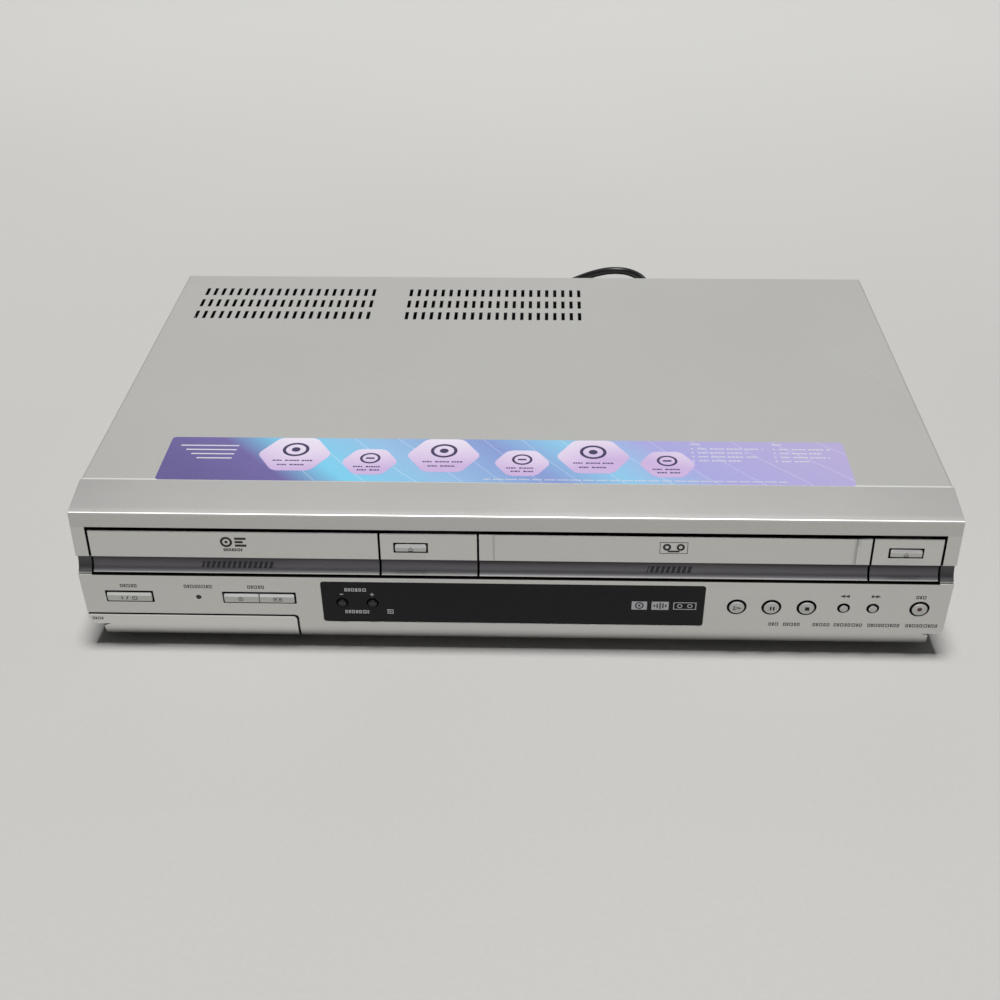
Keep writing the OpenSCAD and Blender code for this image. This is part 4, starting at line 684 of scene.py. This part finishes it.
for side in (-1, 1):
    cube(bm, (17, 1.5, 6.4), (198.6, PLUG.y + side * 6.35, PLUG.z))
bevelled(bm, bm.edges[:], 0.35 * MM)
plug_blades = piece_from("plug_blades", bm, "nickel")

# %% [markdown]
# Below its flat face the front curves back into a chin, which stands in by a few millimetres at
# both ends, while the face above it ends in a small round corner. The solids end both in one
# larger corner, so the copies of the front panel and the flap are recut: one cut at the foot of
# the face, one at each end of the chin, the outer faces go, and the open rims are filled. Then
# the points on the large corner are moved out to the small one.

# %% Set the chin in at both ends
CHIN_TOP, CHIN_END = 14 * MM, 208 * MM
OLD_CORNER, NEW_CORNER = (203, 17, 12), (211, 18, 4)    # centre's x and z, radius, in mm
HAIR = 3e-6


def near(value, goal):
    return abs(value - goal) < HAIR


def corner_x(corner, z):
    """How far out that round corner reaches at the height z, in mm."""
    centre, high, radius = corner
    return centre + math.sqrt(max(0.0, radius ** 2 - (high - z) ** 2))


def set_chin_in(bm):
    everything = bm.verts[:] + bm.edges[:] + bm.faces[:]
    bmesh.ops.bisect_plane(bm, geom=everything, dist=2e-6, plane_co=(0, 0, CHIN_TOP), plane_no=(0, 0, 1))
    for side in (-1, 1):
        chin = [f for f in bm.faces if f.calc_center_median().z < CHIN_TOP]
        around = dict.fromkeys(part for f in chin for part in (*f.edges, *f.verts))
        bmesh.ops.bisect_plane(bm, geom=[*chin, *around], dist=2e-6, plane_co=(side * CHIN_END, 0, 0),
            plane_no=(1, 0, 0))
    middles = ((f, f.calc_center_median()) for f in bm.faces)
    gone = [f for f, centre in middles if centre.z < CHIN_TOP and abs(centre.x) > CHIN_END]
    bmesh.ops.delete(bm, geom=gone, context="FACES")
    for side in (-1, 1):
        rim = [e for e in bm.edges if e.is_boundary and all(v.co.x * side > CHIN_END - HAIR for v in e.verts)]
        at_end = {v for e in rim for v in e.verts if near(v.co.x * side, CHIN_END)}
        at_top = {v for e in rim for v in e.verts if near(v.co.z, CHIN_TOP)}
        upright = [e for e in rim if at_end.issuperset(e.verts)]
        flat = [e for e in rim if at_top.issuperset(e.verts)]
        corners = sorted(at_end & at_top, key=lambda v: v.co.y)
        ledge = [bm.edges.get(pair) or bm.edges.new(pair) for pair in zip(corners[::2], corners[1::2])]
        for edges, normal in ((upright, (side, 0, 0)), (flat, (0, 0, -1))):
            loop = list(dict.fromkeys(edges + ledge))
            if loop:
                bmesh.ops.triangle_fill(bm, use_beauty=True, edges=loop, normal=normal)
    for vert in bm.verts:
        x, z = abs(vert.co.x) / MM, vert.co.z / MM
        if x > 206 and 13.9 < z < OLD_CORNER[1]:
            outwards = MM if vert.co.x > 0 else -MM
            vert.co.x += (corner_x(NEW_CORNER, z) - corner_x(OLD_CORNER, z)) * outwards
    bmesh.ops.recalc_face_normals(bm, faces=bm.faces)


# %% [markdown]
# CAD edges are perfectly sharp, and a perfectly sharp edge never catches the light. Each outer
# piece is therefore copied, its triangles are merged back into whole faces, and its sharp edges
# get a small bevel. A Weighted Normal modifier keeps the large faces flat beside the bevels.

# %% Copy a CAD node with softened edges
def softened(name, width, angle=28):
    source = nodes[name]
    bm = bmesh.new()
    bm.from_mesh(source.data)
    bmesh.ops.remove_doubles(bm, verts=bm.verts, dist=2e-6)
    bmesh.ops.dissolve_limit(bm, angle_limit=math.radians(0.6), verts=bm.verts, edges=bm.edges, delimit=set())
    sharp = [e for e in bm.edges if len(e.link_faces) == 2 and e.calc_face_angle() > math.radians(angle)]
    bevelled(bm, sharp, width * MM)
    if name in ("front_bezel", "front_jack_door"):
        set_chin_in(bm)
        print(name, "has", sum(not e.is_contiguous for e in bm.edges), "open or turned edges")
    piece = object_from(name + "_shell", bm, [place.material for place in source.material_slots], sharp=35)
    piece.modifiers.new("even light", "WEIGHTED_NORMAL").keep_sharp = True
    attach(piece, body_of[name])
    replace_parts(piece, name)
    return piece


# %% Soften the casing, the doors and the buttons
# how wide each bevel is, in mm
SOFT = {"top_cover": 0.12, "front_bezel": 0.2, "groove_ends": 0.15, "display_window": 0.25,
    "tray_door": 0.2, "dvd_eject_panel": 0.2, "vhs_door": 0.15, "vhs_eject_panel": 0.2,
    "front_jack_door": 0.15, "disc_tray": 0.25, "feet": 0.3, "rear_panel": 0.1, "bottom_chassis": 0.15,
    "clamp_bridge": 0.15, "loader_frame": 0.2, "cassette_carrier": 0.12, "deck_plate": 0.12,
    "carrier_slider": 0.12}
KEYS = {"dvd_eject": 0.2, "vhs_eject": 0.2, "power": 0.2, "dvd_select": 0.2, "video_select": 0.2,
    "channel_down": 0.12, "channel_up": 0.12, "play": 0.15, "pause": 0.15, "stop": 0.15, "rewind": 0.12,
    "fast_forward": 0.12, "record": 0.15}
shells = {name: softened(name, width) for name, width in SOFT.items()}
shells.update({key: softened(key + "_button", width, angle=14) for key, width in KEYS.items()})
# the cover's top lies a little lower, so that its label ends level with the CAD cover
SUNK, BEND_FOOT, BEND_HIGH = 0.16 * MM, 84.5 * MM, 1.5 * MM
for vert in shells["top_cover"].data.vertices:
    vert.co.z -= SUNK * max(0.0, min(1.0, (vert.co.z - BEND_FOOT) / BEND_HIGH))
print(len(shells), "softened pieces,", sum(len(s.data.polygons) for s in shells.values()), "faces")

# %% [markdown]
# A board and what is soldered to it are one solid in the frame. Here each face is painted by
# where it lies: lacquer up to the board's top, and above it the part that stands there.

# %% Paint the boards face by face
def repainted(name, width, others, choose):
    """A softened copy whose faces take the finish that choose(centre in mm) names."""
    piece = softened(name, width)
    first = slot_of[name]
    order = [first, *others]
    for other in others:
        piece.data.materials.append(finishes[other].material)
    for face in piece.data.polygons:
        face.material_index = order.index(choose(face.center / MM) or first)
    return piece


finishes.update({
    "winding_tape": moulded("winding tape", rgb(178, 132, 52), 0.4),
    "core_iron": sheet_metal("core iron", rgb(74, 72, 70), 0.5, 300, 0.3),
    "can_sleeve": moulded("capacitor sleeve", rgb(28, 32, 52), 0.35),
    "white_plastic": moulded("white plastic", rgb(205, 204, 198), 0.4),
})
BOARD_TOP = 11.62


def power_parts(c):
    """Transformer with its winding, heat sink, mains socket, and capacitors."""
    if c.z < BOARD_TOP:
        return None
    if -131.5 < c.x < -83 and 83 < c.y < 117.5:
        return "core_iron" if c.z < 21.7 or c.z > 43.4 else "winding_tape"
    if c.x < -190:
        return "core_iron"
    return "white_plastic" if -181 < c.x < -156 and c.y > 116 else "can_sleeve"


repainted("power_board", 0.2, ["core_iron", "winding_tape", "can_sleeve", "white_plastic"], power_parts)
repainted("main_board", 0.15, ["black_plastic", "can_sleeve"],
    lambda c: None if c.z < BOARD_TOP else "can_sleeve" if c.y > 108 else "black_plastic")
repainted("key_board", 0.1, ["black_plastic"],
    lambda c: "black_plastic" if c.y + c.z * 0.107 < -130.3 and c.z < 46 and c.y < -134.3 else None)
print("boards painted")

# %% [markdown]
# Printed marks are thin slabs of ink. Each is drawn flat on its own little plane, with x along
# the front and y up it, then given a thickness and carried to its face. There are no words: a
# row of short blocks of different widths, full or in outline, stands where a caption would be.

# %% Draw with ink
def on_lower_face(x, z):
    """The plane of the leaning lower front, with its origin at that x and z."""
    tilt = Matrix.Rotation(math.pi / 2 + math.atan(LEAN_IN / LEAN_DOWN), 4, "X")
    return Matrix.Translation((x, FACE_Y + LEAN_IN * (FACE_TOP - z) / LEAN_DOWN, z)) @ tilt


def on_upper_face(x, z):
    return Matrix.Translation((x, DOOR_Y, z)) @ Matrix.Rotation(math.pi / 2, 4, "X")


def at(x, y, squash=1.0):
    return Matrix.Translation((x, y, 0)) @ Matrix.Diagonal((1, squash, 1, 1))


def turned(degrees):
    return Matrix.Rotation(math.radians(degrees), 4, "Z")


def bar(bm, x, y, w, h, turn=0.0):
    bmesh.ops.create_grid(bm, x_segments=1, y_segments=1, size=0.5,
        matrix=at(x, y) @ turned(turn) @ Matrix.Diagonal((w, h, 1, 1)))


def dot(bm, x, y, r, sides=24, turn=0.0, squash=1.0):
    bmesh.ops.create_circle(bm, cap_ends=True, segments=sides, radius=r,
        matrix=at(x, y, squash) @ turned(turn))


def ring(bm, x, y, r, width, sides=32, squash=1.0):
    place = at(x, y, squash)
    rims = []
    for radius in (r, r - width):
        made = bmesh.ops.create_circle(bm, cap_ends=False, segments=sides, radius=radius, matrix=place)
        rims += dict.fromkeys(e for v in made["verts"] for e in v.link_edges)
    return bmesh.ops.bridge_loops(bm, edges=rims)["faces"]


def frame_line(bm, x, y, w, h, t):
    for side in (-1, 1):
        bar(bm, x, y + side * (h - t) / 2, w, t)
        bar(bm, x + side * (w - t) / 2, y, t, h - 2 * t)


def caption(bm, x, y, w, h, line=0.0):
    """A row of blocks of different widths: outlines, if line is given, or full ones with gaps."""
    widths = [0.9, 0.6, 1.1, 0.7, 0.9, 1.2, 0.5, 1.0, 0.8, 0.6]
    left, i = x - w / 2, 0
    while left + widths[i % 10] * h < x + w / 2 + 0.01:
        wide = widths[i % 10] * h
        if line:
            frame_line(bm, left + wide / 2, y, wide * 0.74, h, line)
        elif i % 7 != 4:
            bar(bm, left + wide / 2, y, wide * 0.74, h * 0.8)
        left += wide
        i += 1


def ink(name, bm, place, body, finish, thick=0.04, lift=-0.01):
    """Gives the drawing its thickness and puts it on its plane, lift above it."""
    bm.normal_update()
    bmesh.ops.reverse_faces(bm, faces=[f for f in bm.faces if f.normal.z < 0])
    bmesh.ops.solidify(bm, geom=bm.faces[:], thickness=thick)
    low = min(v.co.z for v in bm.verts)
    bmesh.ops.translate(bm, vec=(0, 0, lift - low), verts=bm.verts)
    bmesh.ops.transform(bm, matrix=Matrix.Diagonal((MM, MM, MM, 1)) @ place, verts=bm.verts)
    bmesh.ops.recalc_face_normals(bm, faces=bm.faces)
    piece_from(name, bm, finish, body)


finishes.update({
    "dark_ink": moulded("dark ink", rgb(66, 66, 68), 0.5, depth=0.05),
    "pale_ink": moulded("pale ink", rgb(196, 197, 203), 0.5, depth=0.05),
})

# %% Marks on the lower front
MID_Z = 30.0        # the height of the drawing's y = 0
marks = bmesh.new()
for x, w in ((-190.5, 10.2), (-156.0, 15.2), (-126.3, 11.2)):
    caption(marks, x, 39.8 - MID_Z, w, 2.1, line=0.42)
for x, way in ((163.8, 180), (178.3, 0)):
    for shift in (-1.1, 1.1):
        dot(marks, x + shift, 38.4 - MID_Z, 1.6, sides=3, turn=way - 90, squash=0.75)
caption(marks, 200.8, 38.2 - MID_Z, 5.8, 2.1, line=0.42)
for x, w in ((130.6, 6.0), (140.4, 11.0), (154.1, 9.0), (167.6, 15.1), (185.0, 16.4), (203.8, 16.4)):
    caption(marks, x, 19.3 - MID_Z, w, 2.1, line=0.42)
ink("front_marks", marks, on_lower_face(0, MID_Z), "housing", "dark_ink")
pull = bmesh.new()
caption(pull, -210.2, 17.6 - MID_Z, 6.5, 1.8, line=0.36)
ink("flap_mark", pull, on_lower_face(0, MID_Z), "jack_door", "dark_ink")

# %% Marks in the window
WINDOW_FACE = -0.2      # how far the window lies behind the leaning face
KEYS_LEFT, KEYS_RIGHT, ICON_ROW = -85.0, -69.8, 30.5 - MID_Z
DISC_ICON, SOUND_ICON, TAPE_ICON = 63.0, 73.3, 85.5
marks = bmesh.new()
bar(marks, KEYS_LEFT, 35.6 - MID_Z, 1.8, 0.55)
bar(marks, KEYS_RIGHT, 35.6 - MID_Z, 2.0, 0.55)
bar(marks, KEYS_RIGHT, 35.6 - MID_Z, 0.55, 2.0)
caption(marks, -77.6, 38.6 - MID_Z, 12.0, 2.1, line=0.5)
caption(marks, -77.6, 24.0 - MID_Z, 13.2, 2.1, line=0.5)
frame_line(marks, -61.2, 24.4 - MID_Z, 3.0, 3.0, 0.45)
bar(marks, -61.2, 24.4 - MID_Z, 1.1, 1.1)
bar(marks, DISC_ICON, ICON_ROW, 7.6, 5.4)
bar(marks, SOUND_ICON, ICON_ROW, 8.5, 5.4)
frame_line(marks, TAPE_ICON, ICON_ROW, 11.4, 4.8, 0.45)
for shift in (-2.5, 2.5):
    ring(marks, TAPE_ICON + shift, ICON_ROW, 1.3, 0.45)
ink("window_marks", marks, on_lower_face(0, MID_Z), "housing", "pale_ink", lift=WINDOW_FACE - 0.01)
cuts = bmesh.new()
ring(cuts, DISC_ICON, ICON_ROW, 2.2, 0.7)
dot(cuts, DISC_ICON, ICON_ROW, 0.7)
for i, high in enumerate((1.4, 2.8, 4.2, 3.2, 1.8)):
    bar(cuts, SOUND_ICON + (i - 2) * 1.4, ICON_ROW, 0.7, high)
ink("window_icon_cuts", cuts, on_lower_face(0, MID_Z), "housing", "black_plastic", lift=WINDOW_FACE + 0.02)


# %% [markdown]
# The long keys have flat heads, so each carries its sign as a thin slab that moves with it, and
# so do the two doors. A triangle over a bar, a line and a broken ring, a disc and a cassette are
# signs that every player has. The dished round keys have theirs in the paint, because a slab
# would stand out of a dish.

# %% Signs on the long keys
def key_sign(name, body, place, draw):
    bm = bmesh.new()
    draw(bm)
    ink(name, bm, place, body, "dark_ink", thick=0.05, lift=0.78)


def eject_sign(bm):
    ring(bm, 0, 0.2, 1.5, 0.45, sides=3, squash=0.75)
    bar(bm, 0, -1.05, 2.6, 0.38)


def power_sign(bm):
    bar(bm, -3.8, 0, 0.5, 2.2)
    bar(bm, -1.2, 0, 0.5, 2.4, turn=-25)
    faces = ((f, f.calc_center_median()) for f in ring(bm, 2.6, -0.1, 1.4, 0.45))
    gap = [f for f, c in faces if abs(c.x - 2.6) < 0.6 and c.y > 0]
    bmesh.ops.delete(bm, geom=gap, context="FACES")
    bar(bm, 2.6, 0.6, 0.45, 1.3)


def disc_sign(bm):
    ring(bm, 0, 0, 1.3, 0.35)
    dot(bm, 0, 0, 0.4)


def cassette_sign(bm):
    frame_line(bm, 0, 0, 4.4, 2.4, 0.3)
    for side in (-1, 1):
        dot(bm, side * 1.05, 0, 0.5)


SIGN_ROW = LONG_ROW - 0.4
key_sign("power_sign", "power_button", on_lower_face(POWER_X, SIGN_ROW), power_sign)
key_sign("disc_select_sign", "dvd_select_button", on_lower_face(SELECT_X - 9.3, SIGN_ROW), disc_sign)
key_sign("tape_select_sign", "video_select_button", on_lower_face(SELECT_X + 9.3, SIGN_ROW), cassette_sign)
for carries, drive, x in zip(("disc", "tape"), ("dvd", "vhs"), EJECT_KEYS):
    key_sign(carries + "_eject_sign", drive + "_eject_button", on_upper_face(x, 63.4), eject_sign)

# %% Signs on the two doors
bm = bmesh.new()
ring(bm, -3.4, 1.1, 3.0, 1.2)
dot(bm, -3.4, 1.1, 0.8)
for w, y in ((5.6, 3.1), (4.0, 1.1), (5.6, -0.9)):
    bar(bm, 0.8 + w / 2, y, w, 1.3)
caption(bm, 0, -3.4, 10.5, 1.6, line=0.4)
ink("disc_door_sign", bm, on_upper_face(-136.1, 64.9), "tray", "black_plastic")
bm = bmesh.new()
frame_line(bm, 0, 0, 13.6, 6.7, 0.3)
for side in (-1, 1):
    ring(bm, side * 3.3, 0.4, 2.0, 1.1)
bar(bm, 0, -2.0, 5.6, 1.0)
ink("tape_door_sign", bm, on_upper_face(78.1, 65.4), "tape_door", "black_plastic")

# %% [markdown]
# The sales label on the cover is a strip of printed film. Its colours run from violet through
# cyan to lavender, over the object's x. The pattern is a row of six-sided tiles, large and small
# by turns, with rings and rows of blocks, drawn as thin slabs like the other marks.

# %% Label on the cover
STRIP_X, STRIP_Y, STRIP_LONG, STRIP_WIDE = -5.0, -95.7, 346.0, 42.6


def label_film():
    finish = Finish("label film", coat_weight=0.4, coat_roughness=0.12)
    x, y, _ = finish.axes()
    along = (x - STRIP_X) / STRIP_LONG + 0.5
    slant = clamp(along + (y + 95) * (0.9 / STRIP_LONG))
    colour = finish.ramp(slant, [(0.0, rgb(84, 73, 136)), (0.13, rgb(98, 85, 152)),
        (0.22, rgb(112, 198, 230)), (0.36, rgb(138, 182, 220)), (0.52, rgb(124, 144, 202)),
        (0.63, rgb(130, 192, 226)), (0.76, rgb(160, 158, 214)), (1.0, rgb(174, 162, 208))])
    waves = abs((x + y * 0.9 + finish.noise(6, 1.0) * 60) % 23 - 11.5) < 0.35
    finish.set(base_color=finish.mix(waves * 0.25 * (along > 0.2), colour, rgb(235, 240, 250)),
        roughness=0.22 + finish.noise(60, 2.0) * 0.12)
    return finish


def tile_film():
    finish = Finish("label tiles", coat_weight=0.4, coat_roughness=0.12)
    _, y, _ = finish.axes()
    glow = clamp((y + 100) / 30 + (finish.noise(18, 1.0) - 0.5) * 1.2)
    finish.set(base_color=finish.mix(glow, rgb(196, 170, 214), rgb(232, 224, 236)), roughness=0.26)
    return finish


finishes.update({"label_film": label_film(), "tile_film": tile_film(),
    "violet_ink": moulded("violet ink", rgb(54, 45, 82), 0.4, depth=0.05)})
COVER_TOP = Matrix.Translation((0, 0, 85.84))
TILES = [(-112, -91, 19), (-73, -98, 14.5), (-36, -91, 19), (4, -98, 14.5), (40, -91, 19), (77, -98, 14.5)]
film = bmesh.new()
bar(film, STRIP_X, STRIP_Y, STRIP_LONG, STRIP_WIDE)
bevelled(film, film.verts[:], 2.0, segments=4, affect="VERTICES")
ink("label_strip", film, COVER_TOP, "housing", "label_film", thick=0.09, lift=-0.01)
tiles = bmesh.new()
for x, y, r in TILES:
    dot(tiles, x, y, r, sides=6, turn=30)
bevelled(tiles, tiles.verts[:], 3.0, segments=4, affect="VERTICES")
ink("label_tiles", tiles, COVER_TOP, "housing", "tile_film", thick=0.05, lift=0.07)
signs = bmesh.new()
for i, (x, y, r) in enumerate(TILES):
    ring(signs, x, y + r * 0.24, r * 0.36, r * 0.09)
    if i % 2:
        bar(signs, x, y + r * 0.24, r * 0.3, r * 0.1)
    else:
        dot(signs, x, y + r * 0.24, r * 0.12)
    caption(signs, x, y - r * 0.34, r * 1.1, 1.5)
    caption(signs, x, y - r * 0.56, r * 0.8, 1.5)
ink("label_tile_signs", signs, COVER_TOP, "housing", "violet_ink", thick=0.04, lift=0.11)
lines = bmesh.new()
for i in range(4):
    bar(lines, -157 + i * 1.5, -83.0 - i * 4.2, 30 - i * 4, 1.1)
for left, heading, widths in ((90.5, 7, (34, 26, 31, 22)), (132.0, 6, (27, 22, 25, 16))):
    caption(lines, left + heading / 2 - 0.5, -77.4, heading, 1.5)
    for row, wide in enumerate(widths):
        dot(lines, left, -82.0 - row * 4.0, 0.6)
        caption(lines, left + 2.5 + wide / 2, -82.0 - row * 4.0, wide, 1.5)
caption(lines, 60, -114.0, 150, 1.1)
ink("label_lines", lines, COVER_TOP, "housing", "pale_ink", thick=0.04, lift=0.07)
print("label: strip,", len(TILES), "tiles")

# %% [markdown]
# A phono socket is a nickelled sleeve around a coloured insulator with a hole for the plug's
# pin. The colour says what it carries. Each is an outline spun around the socket's own axis.

# %% Phono sockets
SOCKET_COLOURS = {"red": (176, 34, 30), "white": (214, 212, 206), "yellow": (222, 180, 34),
    "green": (36, 128, 62), "blue": (34, 62, 150)}
for word, colour in SOCKET_COLOURS.items():
    finishes["socket_" + word] = moulded("socket " + word, rgb(*colour), 0.35)
finishes["socket_black"] = finishes["black_plastic"]


def phono_socket(metal, plastic, place, way, back):
    """Its sleeve and its insulator; way is -1 where it faces the front, and back is how deep it reaches."""
    for bm, outline in (
            (metal, [(4.15, -back), (4.15, -0.35), (3.9, 0), (3.6, 0), (3.35, -0.3)]),
            (plastic, [(3.4, -back), (3.4, -1.0), (3.1, -0.8), (2.0, -0.8), (1.6, -1.2)])):
        inside = (outline[-1][0], -back)
        lathe(bm, [inside, *outline, inside], Vector((0, way, 0)), Vector(place), steps=32)


def block(name, size, centre, edge, slot):
    """A plain body, as big as size in mm, with edges that are rounded by edge."""
    bm = bmesh.new()
    cube(bm, size, centre)
    bevelled(bm, bm.edges[:], edge * MM)
    return piece_from(name, bm, slot)


ROWS = {40: "yellow white red green blue red black", 24: "yellow white red yellow white red black"}
metal, colours = bmesh.new(), {}
for z, row in ROWS.items():
    for i, word in enumerate(row.split()):
        if word not in colours:
            colours[word] = bmesh.new()
        phono_socket(metal, colours[word], (-6 + 14 * i, 144, z), way=1, back=12)
rear_sleeves = piece_from("rear_socket_sleeves", metal, "nickel")
for word, bm in colours.items():
    piece_from("rear_sockets_" + word, bm, "socket_" + word)
block("rear_socket_block", (115, 14, 36.2), (44.5, 126.9, 29.8), 0.5, "black_plastic")
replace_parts(rear_sleeves, "rear_jacks")

# %% [markdown]
# The four-pin video socket is a shallow black cup with its pins in it. An aerial socket is a
# threaded sleeve on the tuner's can. Both are spun outlines too, the thread as plain rings.

# %% Four-pin video socket and aerial sockets
bm = bmesh.new()
lathe(bm, [(0, -4), (5.5, -4), (5.5, 1.6), (5.2, 2), (4.7, 2), (4.5, 1.6), (4.5, -0.4), (0, -0.4)],
    TO_THE_BACK, Vector((94, 135, 24)), steps=40)
piece_from("video_socket", bm, "black_plastic")
bm = bmesh.new()
for dx, dz in ((-1.9, 1.3), (1.9, 1.3), (-1.4, -1.5), (1.4, -1.5)):
    lathe(bm, [(0, -0.5), (0.45, -0.5), (0.45, 0.9), (0, 1.1)], TO_THE_BACK,
        Vector((94 + dx, 135, 24 + dz)), steps=12)
piece_from("video_socket_pins", bm, "nickel")
bm = bmesh.new()
thread = [(5.2, -2), (5.2, 1), (4.5, 1.1)]
for i in range(9):
    thread += [(4.7, 1.5 + i * 0.75), (4.3, 1.85 + i * 0.75)]
thread += [(4.5, 8.3), (4.2, 8.5), (3.9, 8.5), (3.9, 5.6), (0.8, 5.6), (0.8, 1.5), (0, 1.5), (0, -2)]
for z in (22, 42):
    lathe(bm, thread, TO_THE_BACK, Vector((193, 135, z)), steps=40)
piece_from("aerial_sockets", bm, "nickel")
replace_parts(block("tuner_can", (26, 79, 38.3), (193, 94.4, 30.8), 0.6, "zinc_steel"), "tuner_module")

# %% Sockets behind the flap
metal = bmesh.new()
for i, word in enumerate(("yellow", "white", "red")):
    bm = bmesh.new()
    phono_socket(metal, bm, (-183 + 16 * i, -128, 13.5), way=-1, back=11)
    piece_from("front_socket_" + word, bm, "socket_" + word)
piece_from("front_socket_sleeves", metal, "nickel")
front_block = block("front_socket_block", (48, 11.7, 8.85), (-167, -111.35, 16.05), 0.4, "black_plastic")
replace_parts(front_block, "front_jacks")

# %% [markdown]
# One round lamp high overhead gives the short, soft shadow below the front. A wide dim card
# behind and one in front are what the paint and the bare metal mirror. The table is a plain pale
# grey with a very fine texture, with painted light that makes it paler towards the back, where the
# overhead lamp falls off.

# %% Table and light
def table_top():
    finish = Finish("table top")
    fine = finish.noise(420, 3.0)
    broad = finish.noise(2.2, 2.0)
    _, y, _ = finish.axes()
    grey = finish.mix(clamp(0.35 * fine + 0.5 * broad), rgb(184, 183, 180), rgb(202, 201, 198))
    # painted light: paler towards the back, where the overhead lamp falls off
    finish.set(base_color=finish.mix(step(y, -50, 1500) * 0.6, grey, rgb(244, 243, 240)),
        roughness=0.62 + fine * 0.08)
    return finish.bump(fine, 0.1, 0.0002)


bm = bmesh.new()
bmesh.ops.create_grid(bm, x_segments=1, y_segments=1, size=6.0)
object_from("table_top", bm, [table_top().material])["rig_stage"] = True


def lamp(name, place, target, power, wide, high):
    data = bpy.data.lights.new(name, "AREA")
    data.shape = "DISK" if wide == high else "RECTANGLE"
    data.size, data.size_y, data.energy = wide, high, power
    made = bpy.data.objects.new(name, data)
    aim = (Vector(target) - Vector(place)).to_track_quat("-Z", "Y")
    made.matrix_world = Matrix.Translation(place) @ aim.to_matrix().to_4x4()
    scene.collection.objects.link(made)
    print(name, "gives", power, "W")


lamp("overhead", (0, -0.45, 5), (0, -0.45, 0), 258, 1.15, 1.15)
lamp("card behind", (0, 4, 2), (0, 0, 0), 14, 4, 2)
lamp("card in front", (0, -4, 0.6), (0, 0, 0), 11, 4, 0.8)
world = bpy.data.worlds.new("room")
world.use_nodes = True
room_light = world.node_tree.nodes["Background"].inputs
room_light["Color"].default_value = (0.82, 0.82, 0.81, 1)
room_light["Strength"].default_value = 0.07
scene.world = world

# %% Sizes, then the end
visual_box = [list(corner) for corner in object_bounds()]
pairs = [pair for cad, visual in zip(cad_box, visual_box) for pair in zip(cad, visual)]
print("box grew by", [round((visual - cad) / MM, 3) for cad, visual in pairs], "mm")
